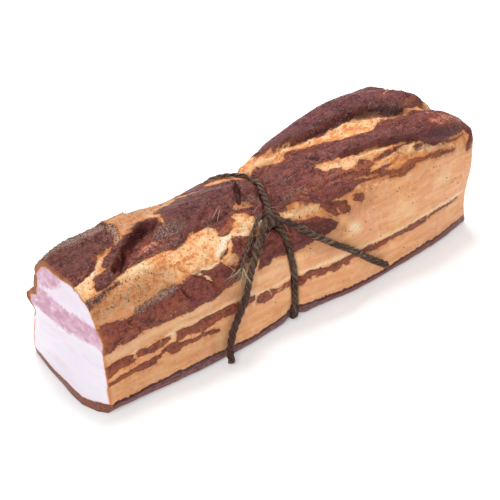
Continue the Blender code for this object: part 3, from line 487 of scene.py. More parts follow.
CUT_BAND = (  # the lean band on the fresh cut: (y, lower edge, upper edge)
    (-34, 32, 40), (-27, 32.5, 41.5), (-23, 33, 44.5), (-16, 32.2, 44.3), (-10, 31.7, 43.5),
    (-4, 30.8, 41.8), (0, 30, 42.3), (4, 29.6, 44.3), (10, 30.2, 44.8), (17, 31, 45.2),
    (22, 31.6, 44.5), (34, 30, 42),
)
CUT_RIND = (  # the rind's height on the cut: (y, height)
    (-36, 6), (-24, 5.2), (-8, 4.4), (8, 3.6), (20, 3), (31, 2.6),
)
CUT_TOP_FOOT = (  # the lower edge of the top lean on the cut: (y, height)
    (-34, 90), (-7, 62), (-3, 60.5), (0, 59), (3, 55), (8, 51.2), (13, 48.8), (18, 46.8), (22, 45.6),
    (34, 44),
)
RIM = (  # how far the smoked skin turns over onto the cut: (s, width)
    (0, 1.6), (4, 0.7), (30, 0.6), (48, 0.8), (62, 0.8), (70, 1.6), (90, 2.4), (112, 2), (121, 1.6),
    (132, 1.4), (137, 0.8), (164, 0.8), (170, 2.4), (235, 2.4),
)


# ---- Arithmetic on whole arrays ----------------------------------------------------------------
LATTICE = 89  # values a side before the noise repeats
FAR_AWAY = 1e9


def smooth_between(stations, values):
    """A function through values at stations: cubic pieces whose slopes are the weighted mean of their
    neighbours'."""
    stations, values = np.asarray(stations, float), np.asarray(values, float)
    steps = np.diff(stations)
    slopes = np.diff(values) / steps
    inner = (slopes[:-1] * steps[1:] + slopes[1:] * steps[:-1]) / (steps[1:] + steps[:-1])
    tangents = np.concatenate(([slopes[0]], inner, [slopes[-1]]))

    def at(x):
        x = np.clip(x, stations[0], stations[-1])
        i = np.clip(np.searchsorted(stations, x, side="right") - 1, 0, len(steps) - 1)
        t = (x - stations[i]) / steps[i]
        start = (1 + 2 * t) * (1 - t) ** 2 * values[i] + t * (1 - t) ** 2 * steps[i] * tangents[i]
        end = t * t * (3 - 2 * t) * values[i + 1] - t * t * (1 - t) * steps[i] * tangents[i + 1]
        return start + end

    return at


def smoothstep(low, high, value):
    """0 below low, 1 above high, and 3t^2 - 2t^3 between."""
    t = np.clip((value - low) / (high - low), 0, 1)
    return t * t * (3 - 2 * t)


def unit(vectors):
    """Vectors made one long, along the last axis."""
    return vectors / np.linalg.norm(vectors, axis=-1, keepdims=True)


def run_along(line):
    """The length along a line of points, from 0 at its first."""
    return np.concatenate(([0], np.cumsum(np.linalg.norm(np.diff(line, axis=0), axis=1))))


def stroke(x, s, points):
    """(distance to a line of pieces, half width there): the piece with the least distance per width
    counts."""
    best = np.full(np.shape(x), FAR_AWAY)
    width = np.ones(np.shape(x))
    for (x0, s0, w0), (x1, s1, w1) in zip(points, points[1:]):
        dx, ds = x1 - x0, s1 - s0
        t = np.clip(((x - x0) * dx + (s - s0) * ds) / (dx * dx + ds * ds), 0, 1)
        away = np.hypot(x - x0 - t * dx, s - s0 - t * ds)
        wide = w0 + t * (w1 - w0)
        nearer = away / wide < best / width
        best = np.where(nearer, away, best)
        width = np.where(nearer, wide, width)
    return best, width


def depth_inside(x, s, outline):
    """Distance to a closed outline, above 0 inside it: the least distance to an edge, and how many edges
    a ray crosses gives the sign."""
    best = np.full(np.shape(x), FAR_AWAY)
    inside = np.zeros(np.shape(x), bool)
    for (x0, s0), (x1, s1) in zip(outline, outline[1:] + outline[:1]):
        dx, ds = x1 - x0, s1 - s0
        t = np.clip(((x - x0) * dx + (s - s0) * ds) / (dx * dx + ds * ds), 0, 1)
        best = np.minimum(best, np.hypot(x - x0 - t * dx, s - s0 - t * ds))
        if ds != 0:
            inside ^= ((s0 > s) != (s1 > s)) & (x < x0 + (s - s0) * dx / ds)
    return np.where(inside, best, -best)


def swell(x, s, length, width, seed):
    """Smooth noise from -1 to 1: seeded values on a lattice of that length and width, with smoothstep
    blends."""
    table = np.random.default_rng(seed).uniform(-1, 1, (LATTICE, LATTICE))
    u, v = x / length + 31.7, s / width + 17.3
    i, j = np.floor(u).astype(int), np.floor(v).astype(int)
    fu, fv = smoothstep(0, 1, u - i), smoothstep(0, 1, v - j)
    i0, i1, j0, j1 = i % LATTICE, (i + 1) % LATTICE, j % LATTICE, (j + 1) % LATTICE
    near = table[i0, j0] * (1 - fu) + table[i1, j0] * fu
    far = table[i0, j1] * (1 - fu) + table[i1, j1] * fu
    return near * (1 - fv) + far * fv


def rough(x, s, length, width, seed, octaves=4):
    """Sum of swells, each half as large and half as high as the one before."""
    return sum(swell(x, s, length / 2**k, width / 2**k, seed + k) / 2**k for k in range(octaves))


def painted(x, s, strokes, soft=0.6):
    """The greatest of the strokes' strengths at each place, fading over the outer part of each stroke."""
    total = np.zeros(np.shape(x))
    for strength, points in strokes.values():
        away, width = stroke(x, s, points)
        total = np.maximum(total, strength * (1 - smoothstep(1 - soft, 1 + soft, away / width)))
    return total


# ---- The slab's skin ---------------------------------------------------------------------------
show_foot = smooth_between(STATIONS, SHOW_FOOT)
show_shoulder = smooth_between(STATIONS, SHOW_SHOULDER)
back_foot = smooth_between(STATIONS, BACK_FOOT)
back_shoulder = smooth_between(STATIONS, BACK_SHOULDER)
top = smooth_between(STATIONS, TOP)
show_square = smooth_between(STATIONS, SHOW_SQUARE)
back_square = smooth_between(STATIONS, BACK_SQUARE)


def section(x, s_values):
    """Points (y, z) of the plain section at x: a superellipse, its half sizes and squareness by quarter,
    whose sides lean from foot to shoulder width. Its places s follow the arc length."""
    start = math.pi + math.atan2(MIDDLE, show_foot(x))
    angle = start - np.linspace(0, 2 * math.pi, 721)
    across, up = np.cos(angle), np.sin(angle)
    show = across < 0
    foot = np.where(show, show_foot(x), back_foot(x))
    shoulder = np.where(show, show_shoulder(x), back_shoulder(x))
    half_width = (foot + shoulder) / 2
    half_height = np.where(up > 0, top(x) - MIDDLE, MIDDLE + UNDER)
    square = np.where(up > 0, np.where(show, show_square(x), back_square(x)), FOOT_SQUARE)
    radius = (abs(across / half_width) ** square + abs(up / half_height) ** square) ** (-1 / square)
    y, z = radius * across, radius * up
    slant = (shoulder - foot) / half_width / SHOULDER_RISE * np.clip(abs(across) * 3, 0, 1)
    y = y * (1 + slant * z)
    z = np.maximum(z + MIDDLE, 0)
    length = np.concatenate(([0], np.cumsum(np.hypot(np.diff(y), np.diff(z)))))
    wanted = np.asarray(s_values) / GIRTH * length[-1]
    return np.interp(wanted, length, y), np.interp(wanted, length, z)


def relief(x, s):
    """How far the skin stands off its plain section: two sine swells, the strokes of RELIEF and the
    loop's dip."""
    height = np.sin(x / 17 + s / 21) * np.sin(s / 13 - x / 40)
    height += 0.5 * np.sin(x / 7.5 - s / 11 + 1.3)
    height = height * smoothstep(6, 20, s) * smoothstep(168, 150, s)
    for rise, points in RELIEF.values():
        away, width = stroke(x, s, points)
        height += rise * (1 - smoothstep(0.25, 1.35, away / width))
    depth, half = PINCH
    height -= depth * (1 - smoothstep(0, 1.3, from_loop(x, s) / half))
    return height


def from_loop(x, s):
    """Distance on the skin to the tight loop's line."""
    loop = tuple((px, ps, 1.0) for px, ps, _ in LOOP_ROUTE)
    return np.minimum(stroke(x, s, loop)[0], stroke(x, s + GIRTH, loop)[0])


def far_rounding(x, s):
    """How far the skin draws in near the far end: a quarter circle, of a smaller radius on the rind."""
    above = smoothstep(0, 12, s) * smoothstep(170, 158, s)
    radius = FAR_ROUND_UNDER + (FAR_ROUND - FAR_ROUND_UNDER) * above
    along = np.clip(x - (STATIONS[-1] - radius), 0, radius)
    return radius - np.sqrt(radius**2 - along**2)


def end_shift(x, y, z):
    """How far a point slides along X: the cut end's foot stands out, and the far end's top falls back."""
    near = 1 - smoothstep(-129, -112, x)
    foot = 1 - smoothstep(0, 40, z)
    foot_shift = np.interp(y, [place for place, _ in CUT_FOOT], [slide for _, slide in CUT_FOOT])
    near_shift = 3.5 + foot * (foot_shift - 3.5)
    far = smoothstep(100, 127, x)
    across = np.clip((y + 36) / 60, 0, 1)
    bulge = 1 - np.clip(abs(z - 34) / 36, 0, 1) ** 2
    far_shift = 3.0 * bulge - 3.0 - 12.0 * across * smoothstep(20, 62, z)
    far_shift += 4.5 * (1 - across) ** 2 * smoothstep(44, 60, z)
    return near * near_shift + far * far_shift


def skin(x_values, s_values, extra=0.0):
    """The skin's points and outward directions, arrays of (x, s, 3): the plain section raised by its
    relief."""
    points = np.empty((len(x_values), len(s_values), 3))
    for i, x in enumerate(x_values):
        points[i, :, 0] = x
        points[i, :, 1], points[i, :, 2] = section(x, s_values)
    along_x = np.gradient(points, axis=0)
    round_s = np.roll(points, -1, axis=1) - np.roll(points, 1, axis=1)
    outward = unit(np.cross(along_x, round_s))
    x, s = np.meshgrid(x_values, s_values, indexing="ij")
    raised = points + outward * (relief(x, s) + extra - far_rounding(x, s))[..., None]
    raised[..., 0] += end_shift(raised[..., 0], raised[..., 1], raised[..., 2])
    raised[..., 2] = np.maximum(raised[..., 2], 0)
    return raised, outward


def placed(points):
    """Millimetres in the slab's own place, as metres in the frame."""
    return (np.asarray(points, float) + np.array((*CENTRE, 0))) * MM


# ---- What the skin shows at a place ------------------------------------------------------------
def layer_depth(x, y, z):
    """Depth inside the lean band or the top lean by height alone, for the back, the ends and the
    underside."""
    share = (y - SHOW_Y) / (BACK_Y - SHOW_Y)
    faces = []
    for at_show, at_back in LAYER_FACES:
        show, back = smooth_between(STATIONS, at_show)(x), smooth_between(STATIONS, at_back)(x)
        faces.append(show + share * (back - show))
    sway = 1.6 * rough(x + y, z, 26, 30, 71, 3)
    z = z + sway
    return np.maximum(np.minimum(z - faces[0], faces[1] - z), z - faces[2])


def lean_depth(x, s, y, z):
    """Depth inside lean meat, in mm: outlines on the show side and the top, and layers on the back.
    Noise moves the places before they are looked up, and the foot of the long streak gets teeth."""
    on_top = smoothstep(42, 56, s)
    teeth = smoothstep(21.5, 19.5, s) * smoothstep(13, 16, s)
    teeth = teeth * smoothstep(-45, -30, x) * smoothstep(60, 40, x)
    wx = x + (0.8 + 0.9 * on_top) * rough(x, s, 8, 4.5, 11, 3)
    ws = s + (0.45 + 0.5 * on_top) * rough(x, s, 9, 4.5, 21, 3)
    ws += teeth * 1.1 * swell(x + 0.7 * s, 0 * s, 1.7, 5, 36)
    depth = np.full(np.shape(x), -6.0)
    for outline in LEAN.values():
        depth = np.maximum(depth, depth_inside(wx, ws, outline))
    for outline in FAT_ISLANDS.values():
        depth = np.minimum(depth, -depth_inside(wx, ws, outline))
    depth += (0.35 + 0.35 * on_top) * rough(x, s, 6, 1.6, 26, 3)
    for points in LEAN_LINES.values():
        away, width = stroke(wx, ws, points)
        depth = np.maximum(depth, width * 1.05 - away)
    for points in FAT_LINES.values():
        away, width = stroke(wx, ws, points)
        depth = np.minimum(depth, away - width * 1.05)
    streaky = 1 - smoothstep(0.6, 1.3, np.hypot((x - 66) / 26, (s - 55.5) / 8))
    streaks = 1.5 * rough(x + 2.2 * s, s, 9, 1.7, 31, 3) - 0.45
    depth = np.maximum(depth, streaks * streaky - 2.5 * (1 - streaky))
    by_height = layer_depth(x, y, z)
    on_back = smoothstep(112, 121, s)
    for name in ("back_streak", "back_streak_low"):
        away, width = stroke(wx, ws, LEAN_LINES[name])
        by_height = np.maximum(by_height, width - away)
    return depth * (1 - on_back) + by_height * on_back


def cut_depth(y, z):
    """Depth inside lean on the fresh cut: between the band's edges, or above the foot of the top lean."""
    wy = y + 1.3 * rough(y, z, 8, 5, 41, 4)
    wz = z + 1.0 * rough(y, z, 9, 4, 46, 4)
    places = [row[0] for row in CUT_BAND]
    low = np.interp(wy, places, [row[1] for row in CUT_BAND])
    high = np.interp(wy, places, [row[2] for row in CUT_BAND])
    foot = np.interp(wy, [row[0] for row in CUT_TOP_FOOT], [row[1] for row in CUT_TOP_FOOT])
    return np.maximum(np.minimum(wz - low, high - wz), (wz - foot) * 0.75)


def fine_relief(x, s, lean, crust):
    """Relief finer than the solids': lean stands proud, fibres run along it, grooves part the muscles,
    folds cross the near ridge, and crust is pebbly."""
    above_rind = smoothstep(6, 14, s) * smoothstep(166, 156, s)
    proud = smoothstep(-0.5, 2.0, lean)
    height = 0.5 * proud
    height += proud * (0.42 * rough(x, s, 11, 5, 51, 4) + 0.20 * rough(x, s, 8, 1.5, 55, 2))
    fat = 1 - proud
    top_fat = smoothstep(44, 54, s)
    height += fat * (0.14 + 0.36 * top_fat) * rough(x, s, 9, 6, 61, 4)
    height += crust * 0.32 * rough(x, s, 1.9, 1.7, 65, 2)
    folds = 1 - smoothstep(0.4, 1.2, np.hypot((x - 78) / 12, (s - 58) / 4.5))
    height += folds * 0.6 * np.sin(x / 1.05 + 1.2 * np.sin(s / 1.7) + 2.2 * swell(x, s, 6, 4, 67))
    wrinkled = 1 - smoothstep(0.5, 1.2, np.hypot((x + 47) / 17, (s - 78) / 8.5))
    across = x * 0.737 - (s - 75) * 0.676
    height += wrinkled * 0.75 * (1 - 2 * abs(np.sin(across / 1.9 + 1.6 * swell(x, s, 9, 9, 68))) ** 0.7)
    lumps = smoothstep(20, 10, abs(x - 8)) * smoothstep(60, 66, s) * smoothstep(86, 78, s)
    height += lumps * 0.35 * rough(x, s, 3.4, 2.6, 69, 2)
    for depth, points in GROOVES.values():
        away, width = stroke(x + 0.8 * rough(x, s, 4, 4, 81, 2), s + 0.6 * rough(x, s, 4, 4, 84, 2), points)
        height -= depth * (1 - smoothstep(0.1, 1.5, away / width))
        height += 0.16 * depth * (1 - smoothstep(0.6, 1.6, abs(away / width - 2.0)))
    away = from_loop(x, s)
    height = height * above_rind
    height -= 1.5 * (1 - smoothstep(1.2, 2.9, away))
    height += 0.5 * (1 - smoothstep(1.0, 2.6, abs(away - 4.4))) * above_rind
    rind = smoothstep(8, 4, s) + smoothstep(162, 166, s)
    height += rind * 0.18 * rough(x, s, 5, 2.4, 91, 3)
    return height


# ---- Meshes ------------------------------------------------------------------------------------
def mesh_object(name, points, *face_sets):
    """A mesh from an array of points in metres and arrays of faces, each row one face's points in order."""
    mesh = bpy.data.meshes.new(name)
    sizes = np.concatenate([np.full(len(faces), faces.shape[1]) for faces in face_sets])
    corners = np.concatenate([faces.ravel() for faces in face_sets]).astype(np.int32)
    mesh.vertices.add(len(points))
    mesh.vertices.foreach_set("co", np.asarray(points, np.float32).ravel())
    mesh.loops.add(len(corners))
    mesh.loops.foreach_set("vertex_index", corners)
    mesh.polygons.add(len(sizes))
    mesh.polygons.foreach_set("loop_start", np.concatenate(([0], np.cumsum(sizes)[:-1])).astype(np.int32))
    mesh.polygons.foreach_set("use_smooth", np.ones(len(sizes), bool))
    mesh.update(calc_edges=True)
    made = bpy.data.objects.new(name, mesh)
    bpy.context.scene.collection.objects.link(made)
    return made


def uv_map(made, u, v, turn):
    """A UV map from one pair of values a point. Where a face crosses the seam of v, its low corners go
    up a turn."""
    layer = made.data.uv_layers.new(name="skin")
    corner = np.empty(len(made.data.loops), np.int32)
    made.data.loops.foreach_get("vertex_index", corner)
    sizes = np.empty(len(made.data.polygons), np.int32)
    made.data.polygons.foreach_get("loop_total", sizes)
    face = np.repeat(np.arange(len(sizes)), sizes)
    v_corner = v[corner]
    highest = np.zeros(len(sizes))
    np.maximum.at(highest, face, v_corner)
    v_corner = v_corner + turn * (highest[face] - v_corner > turn / 2)
    layer.data.foreach_set("uv", np.stack((u[corner], v_corner), -1).astype(np.float32).ravel())


def attribute(made, name, values):
    """One number a point, which a material reads by name."""
    layer = made.data.attributes.new(name, "FLOAT", "POINT")
    layer.data.foreach_set("value", np.asarray(values, np.float32).ravel())


def closed_rings(rings, count):
    """Faces of a closed skin: quads between neighbouring rings of `count` points, and a fan at each end
    round a middle point. The two middle points come after all rings."""
    ring, j = np.meshgrid(np.arange(rings - 1), np.arange(count), indexing="ij")
    here, after = ring * count + j, ring * count + (j + 1) % count
    quads = np.stack((here, here + count, after + count, after), -1).reshape(-1, 4)
    j = np.arange(count)
    start, end = rings * count, rings * count + 1
    last = (rings - 1) * count
    first_fan = np.stack((np.full(count, start), j, (j + 1) % count), -1)
    last_fan = np.stack((last + j, np.full(count, end), last + (j + 1) % count), -1)
    return quads, np.concatenate((first_fan, last_fan))


CUT_SHARES = (  # sizes of the rings that close an end, as shares of its outline's
    0.997, 0.988, 0.975, 0.96, 0.94, 0.915, 0.885, 0.85, 0.81, 0.765, 0.715, 0.66, 0.60, 0.535, 0.465, 0.39,
    0.31, 0.225, 0.135, 0.05,
)
FAR_SHARES = (0.98, 0.95, 0.91, 0.86, 0.80, 0.72, 0.62, 0.50, 0.36, 0.20, 0.06)
BODY_X = np.concatenate((
    (-129.0, -128.8), np.linspace(-128.4, 118, 336), np.linspace(118.6, 126, 12), (126.5, 126.9, 127.0),
))
BODY_S = np.concatenate((np.linspace(0, 119.4, 184), np.linspace(120.4, 168, 36), np.linspace(172, 231, 13)))
SOFT_REACH = 7
UV_UNIT = 100  # mm of skin to one unit of its UV map
FAR_LAYERS_X = 120.0


def with_middles(values):
    """A value for each point of the rings, and the means of the first and last ring for the two middle
    points."""
    return np.append(values.ravel(), (values[0].mean(), values[-1].mean()))


def end_cap(outline, x_end, shares):
    """Rings that close an end, and each point's distance from the outline. The outline is drawn in to
    shares of its size on the end's own face, and blends by share^3 into a softer one, the mean of its
    neighbouring points, so that its folds fade out towards the middle."""
    middle = np.array((0, outline[:, 1].mean(), MIDDLE))
    share = np.asarray(shares)[:, None, None]
    soft = np.mean([np.roll(outline, k, axis=0) for k in range(-SOFT_REACH, SOFT_REACH + 1)], axis=0)
    ring = middle + (outline * share**3 + soft * (1 - share**3) - middle) * share
    ring[..., 0] = x_end + end_shift(np.full(ring.shape[:2], float(x_end)), ring[..., 1], ring[..., 2])
    reach = np.hypot(outline[:, 1] - middle[1], outline[:, 2] - middle[2])
    return ring, (1 - share[..., 0]) * reach * 0.85


def belly_piece():
    """The whole slab as one closed skin: rings round it at each x, and each end closed by end_cap. It
    returns the piece and the points of its rings."""
    x, s = np.meshgrid(BODY_X, BODY_S, indexing="ij")
    plain, _ = skin(BODY_X, BODY_S)
    lean = lean_depth(x, s, plain[..., 1], plain[..., 2])
    crust = painted(x, s, CRUST)
    body, outward = skin(BODY_X, BODY_S, fine_relief(x, s, lean, crust))

    near, near_depth = end_cap(body[0], STATIONS[0], CUT_SHARES)
    y, z = near[..., 1], near[..., 2]
    cut_lean = cut_depth(y, z)
    near[..., 0] -= np.clip(near_depth / 1.5, 0, 1) * (
        0.25 * smoothstep(-1, 1, cut_lean) + 0.20 * rough(y, z, 9, 3, 101, 3))
    far, far_depth = end_cap(body[-1], STATIONS[-1], FAR_SHARES)
    y, z = far[..., 1], far[..., 2]
    far_lean = layer_depth(np.full(y.shape, FAR_LAYERS_X), y, z)
    far[..., 0] += np.clip(far_depth / 3, 0, 1) * (
        0.6 * smoothstep(-0.6, 1.6, far_lean) + 0.6 * rough(y, z, 12, 7, 105, 4))

    middles = np.stack((near[-1].mean(0), far[-1].mean(0)))
    points = np.concatenate((near[::-1].reshape(-1, 3), body.reshape(-1, 3), far.reshape(-1, 3), middles))
    made = mesh_object(
        "belly_meat", placed(points), *closed_rings(len(near) + len(body) + len(far), len(BODY_S)))

    def over(at_near, at_body, at_far):
        blocks = (
            np.broadcast_to(at_near, near.shape[:2])[::-1], np.broadcast_to(at_body, body.shape[:2]),
            np.broadcast_to(at_far, far.shape[:2]),
        )
        return with_middles(np.concatenate(blocks))

    rim = np.interp(BODY_S, *zip(*RIM)) * (1 + 0.35 * rough(BODY_S, 0 * BODY_S, 5, 5, 111, 3))
    blend = smoothstep(0, 2.5, near_depth)
    cut_lean = lean[0] * (1 - blend) + cut_lean * blend
    blend = smoothstep(0, 5, far_depth)
    far_lean = lean[-1] * (1 - blend) + far_lean * blend
    rind_top = np.interp(x, *zip(*RIND_TOP)) + 0.5 * rough(x, s, 6, 50, 121, 3)
    back_top = BACK_RIND_TOP + 0.5 * rough(x, s, 6, 50, 122, 3) - plain[..., 2]
    rind = np.where(s > BACK_EDGE, back_top, rind_top - s)
    y, z = near[..., 1], near[..., 2]
    near_rind = np.interp(y, *zip(*CUT_RIND)) - z + 0.6 * rough(y, z, 5, 5, 131, 3)
    y, z = far[..., 1], far[..., 2]
    far_rind = np.interp(y, (-36, 30), (FAR_RIND_TOP, BACK_RIND_TOP)) + 0.5 * rough(y, z, 6, 50, 123, 3) - z
    wx, ws = x + 0.7 * rough(x, s, 5, 3, 124, 3), s + 0.6 * rough(x, s, 5, 3, 127, 3)
    rust, pit = painted(wx, ws, RUST, 0.8), painted(x + 0.4 * (wx - x), s + 0.4 * (ws - s), PIT, 0.6)
    from_cut = x - x[0, 0]
    attribute(made, "lean", over(cut_lean, lean, far_lean))
    attribute(made, "fresh", over(np.minimum(near_depth - rim, -near_rind * 1.2), -1.0 - from_cut, -9.0))
    attribute(made, "rind", over(near_rind, rind, far_rind))
    attribute(made, "crust", over(crust[0], crust, crust[-1]))
    attribute(made, "pale_and_highlight", over(0.0, painted(wx, ws, PALE_AND_HIGHLIGHT, 0.75), 0.0))
    attribute(made, "rust", over(np.maximum(rust[0], 0.8), rust, np.maximum(rust[-1], 0.35)))
    attribute(made, "pit", over(0.0, pit, 0.0))
    attribute(made, "smoke", over(0.0, painted(x, s, SMOKE_AND_SHADE, 0.8), 0.2))
    attribute(made, "wine_sheen_and_shade", over(0.0, painted(x, s, WINE_SHEEN_AND_SHADE, 0.8), 0.1))
    attribute(made, "warm", over(0.0, painted(wx, ws, WARM, 0.7), 0.3))
    across = over(-near_depth, from_cut, from_cut[-1, 0] + far_depth)
    uv_map(made, across / UV_UNIT, over(s[0], s, s[-1]) / UV_UNIT, GIRTH / UV_UNIT)
    return made, body, outward


def on_body(values, x, s):
    """What a grid over the rings holds at places (x, s), by straight lines between its neighbours."""
    i = np.clip(np.searchsorted(BODY_X, x) - 1, 0, len(BODY_X) - 2)
    j = np.clip(np.searchsorted(BODY_S, s) - 1, 0, len(BODY_S) - 2)
    fx = ((x - BODY_X[i]) / (BODY_X[i + 1] - BODY_X[i]))[:, None]
    fs = ((s - BODY_S[j]) / (BODY_S[j + 1] - BODY_S[j]))[:, None]
    near = values[i, j] * (1 - fs) + values[i, j + 1] * fs
    far = values[i + 1, j] * (1 - fs) + values[i + 1, j + 1] * fs
    return near * (1 - fx) + far * fx


# ---- Spice grains ------------------------------------------------------------------------------
def unit_chip():
    """The 12 points and 20 faces of an icosahedron: the cyclic turns of (0, +-1, +-golden ratio)."""
    g = (1 + 5**0.5) / 2
    corners = [(0, a, b * g) for a in (-1, 1) for b in (-1, 1)]
    points = np.array([corner[k:] + corner[:k] for k in range(3) for corner in corners], float)
    points /= np.linalg.norm(points[0])
    away = np.linalg.norm(points[:, None] - points[None], axis=2)
    near = (away > 0.1) & (away < 1.2)
    faces = np.array([(a, b, c) for a in range(12) for b in range(a + 1, 12) for c in range(b + 1, 12)
                      if near[a, b] and near[b, c] and near[a, c]])
    flip = np.linalg.det(points[faces]) < 0
    faces[flip] = faces[flip][:, ::-1]
    return points, faces


def turned_frames(rng, count):
    """Random turns, as (count, 3, 3): the Gram-Schmidt frames of random vectors."""
    a, b = rng.normal(size=(2, count, 3))
    a = unit(a)
    b = unit(b - (a * b).sum(1, keepdims=True) * a)
    return np.stack((a, b, np.cross(a, b)), 1)


def grains(name, places, sizes, flat, body, outward, seed):
    """One piece of many chips: each is the icosahedron with its points pushed in and out at random,
    squashed, turned, and set half into the skin at its place."""
    rng = np.random.default_rng(seed)
    x, s = places
    chip, faces = unit_chip()
    shape = chip[None] * rng.uniform(0.72, 1.18, (len(x), len(chip), 1))
    shape = shape * rng.uniform(flat, 1.0, (len(x), 1, 3))
    shape = np.einsum("nkc,ncd->nkd", shape * sizes[:, None, None] / 2, turned_frames(rng, len(x)))
    centre = on_body(body, x, s) + on_body(outward, x, s) * sizes[:, None] * 0.14
    points = (centre[:, None] + shape).reshape(-1, 3)
    points[:, 2] = np.maximum(points[:, 2], 0.02)
    all_faces = (np.arange(len(x)) * len(chip))[:, None, None] + faces[None]
    made = mesh_object(name, placed(points), all_faces.reshape(-1, 3))
    attribute(made, "tone", np.repeat(rng.uniform(0, 1, len(x)), len(chip)))
    made.data.polygons.foreach_set("use_smooth", np.zeros(len(made.data.polygons), bool))
    return made


def scattered(density, count, seed):
    """Places (x, s) thrown at random over the skin above the rind and kept where density wins over a
    random number. The neighbourhood of the loop is left free."""
    rng = np.random.default_rng(seed)
    x, s = rng.uniform(-128.5, 124, 40 * count), rng.uniform(7, 163, 40 * count)
    kept = (rng.uniform(0, 1, len(x)) < density(x, s)) & (from_loop(x, s) > 2.8)
    return x[kept][:count], s[kept][:count]


def pepper_density(x, s):
    """Dense where the crust is, loose over the top, and a few dots on the sides."""
    on_top = smoothstep(50, 60, s) * smoothstep(128, 112, s)
    side = smoothstep(-20, 40, x) * smoothstep(20, 30, s) * smoothstep(56, 48, s)
    clumps = 0.35 + 0.65 * smoothstep(-0.2, 0.7, rough(x, s, 9, 7, 141, 2))
    return clumps * (0.75 * painted(x, s, CRUST) + 0.09 * on_top + 0.035 * side + 0.008)


def flake_density(x, s):
    """Brown spice flakes: on the crust and the fat of the top."""
    on_top = smoothstep(50, 58, s) * smoothstep(130, 118, s)
    return 0.5 * painted(x, s, CRUST) + 0.12 * on_top + 0.01


SALT_SPOTS = (  # (x, s, half width)
    (-90, 44, 9), (-52, 76, 10), (8, 72, 10), (-12, 70, 5), (-108, 66, 8), (40, 60, 14),
)


def salt_density(x, s):
    """Pale grains: by the knot, on the ridge before it, and along the band near the cut."""
    total = np.full(np.shape(x), 0.004)
    for spot_x, spot_s, wide in SALT_SPOTS:
        total = np.maximum(total, 0.10 * (1 - smoothstep(0.3, 1.2, np.hypot(x - spot_x, s - spot_s) / wide)))
    return total


# ---- Twine -------------------------------------------------------------------------------------
TWINE_STEP = 0.35  # mm between the points of its middle line
TUBE_SIDES = 30
PLY_MIDDLE, PLY_RADIUS = 0.42, 0.58  # of the three plies, as shares of the twine's radius
BRUSH_ROOT = -6  # the point of the line where a brush starts
KNOT_LIFT, TURN_RADIUS, TURN_APART, TURN_PITCH = 3.2, 2.9, 1.75, 11.0
CORE_RADIUS, CORE_STRETCH, CORE_POLE = 3.5, 1.25, 0.08
STRAW_THICK, STRAW_LIFT = 0.30, 0.35
ACROSS_FIBRE = (0.37, 0.61, 0.70)  # a direction that no fibre runs along


class Skin:
    """The skin of the construction on a grid of 1 mm, where a place (x, s) with a lift off it is looked
    up."""

    def __init__(self):
        self.x = np.linspace(-131, 131, 263)
        self.s = np.arange(0, GIRTH, 1.0)
        self.points, self.outward = skin(self.x, self.s)

    def at(self, x, s, lift):
        i, j = x - self.x[0], s % GIRTH
        i0, j0 = int(i), int(j)
        corners = [(i0, j0), (i0 + 1, j0), (i0, (j0 + 1) % len(self.s)), (i0 + 1, (j0 + 1) % len(self.s))]
        fi, fj = i - i0, j - j0
        weights = [(1 - fi) * (1 - fj), fi * (1 - fj), (1 - fi) * fj, fi * fj]
        point = sum(w * self.points[c] for w, c in zip(weights, corners))
        outward = sum(w * self.outward[c] for w, c in zip(weights, corners))
        return point + lift * unit(outward)


def through(points, spacing):
    """Points spaced evenly along Bezier curves through the given ones, whose handles are a sixth of the
    step between each point's neighbours."""
    points = np.asarray(points, float)
    padded = np.concatenate((points[:1] * 2 - points[1:2], points, points[-1:] * 2 - points[-2:-1]))
    before, start, end, after = padded[:-3], padded[1:-2], padded[2:-1], padded[3:]
    handle_out, handle_in = start + (end - before) / 6, end - (after - start) / 6
    t = np.linspace(0, 1, 25)[:-1, None, None]
    r = 1 - t
    curve = r**3 * start + 3 * r**2 * t * handle_out + 3 * r * t * t * handle_in + t**3 * end
    dense = np.concatenate((curve.transpose(1, 0, 2).reshape(-1, 3), points[-1:]))
    length = run_along(dense)
    even = np.linspace(0, length[-1], max(2, round(length[-1] / spacing)) + 1)
    return np.stack([np.interp(even, length, dense[:, k]) for k in range(3)], -1)


def route_line(route, diameter, height, meat):
    """The middle line of one stretch of twine, lying on the skin and never under the floor."""
    radius = diameter / 2
    line = through([meat.at(x, s, radius + height + lift) for x, s, lift in route], TWINE_STEP)
    line[:, 2] = np.maximum(line[:, 2], radius + 0.25)
    return line


def frames_along(line):
    """(tangent, outward, sideways) along a line: outward points away from the slab's middle line, at a
    right angle to the tangent."""
    tangent = unit(np.gradient(line, axis=0))
    outward = (line - (0, 0, MIDDLE)) * (0, 1, 1)
    outward = unit(outward - (outward * tangent).sum(1, keepdims=True) * tangent)
    return tangent, outward, np.cross(outward, tangent)


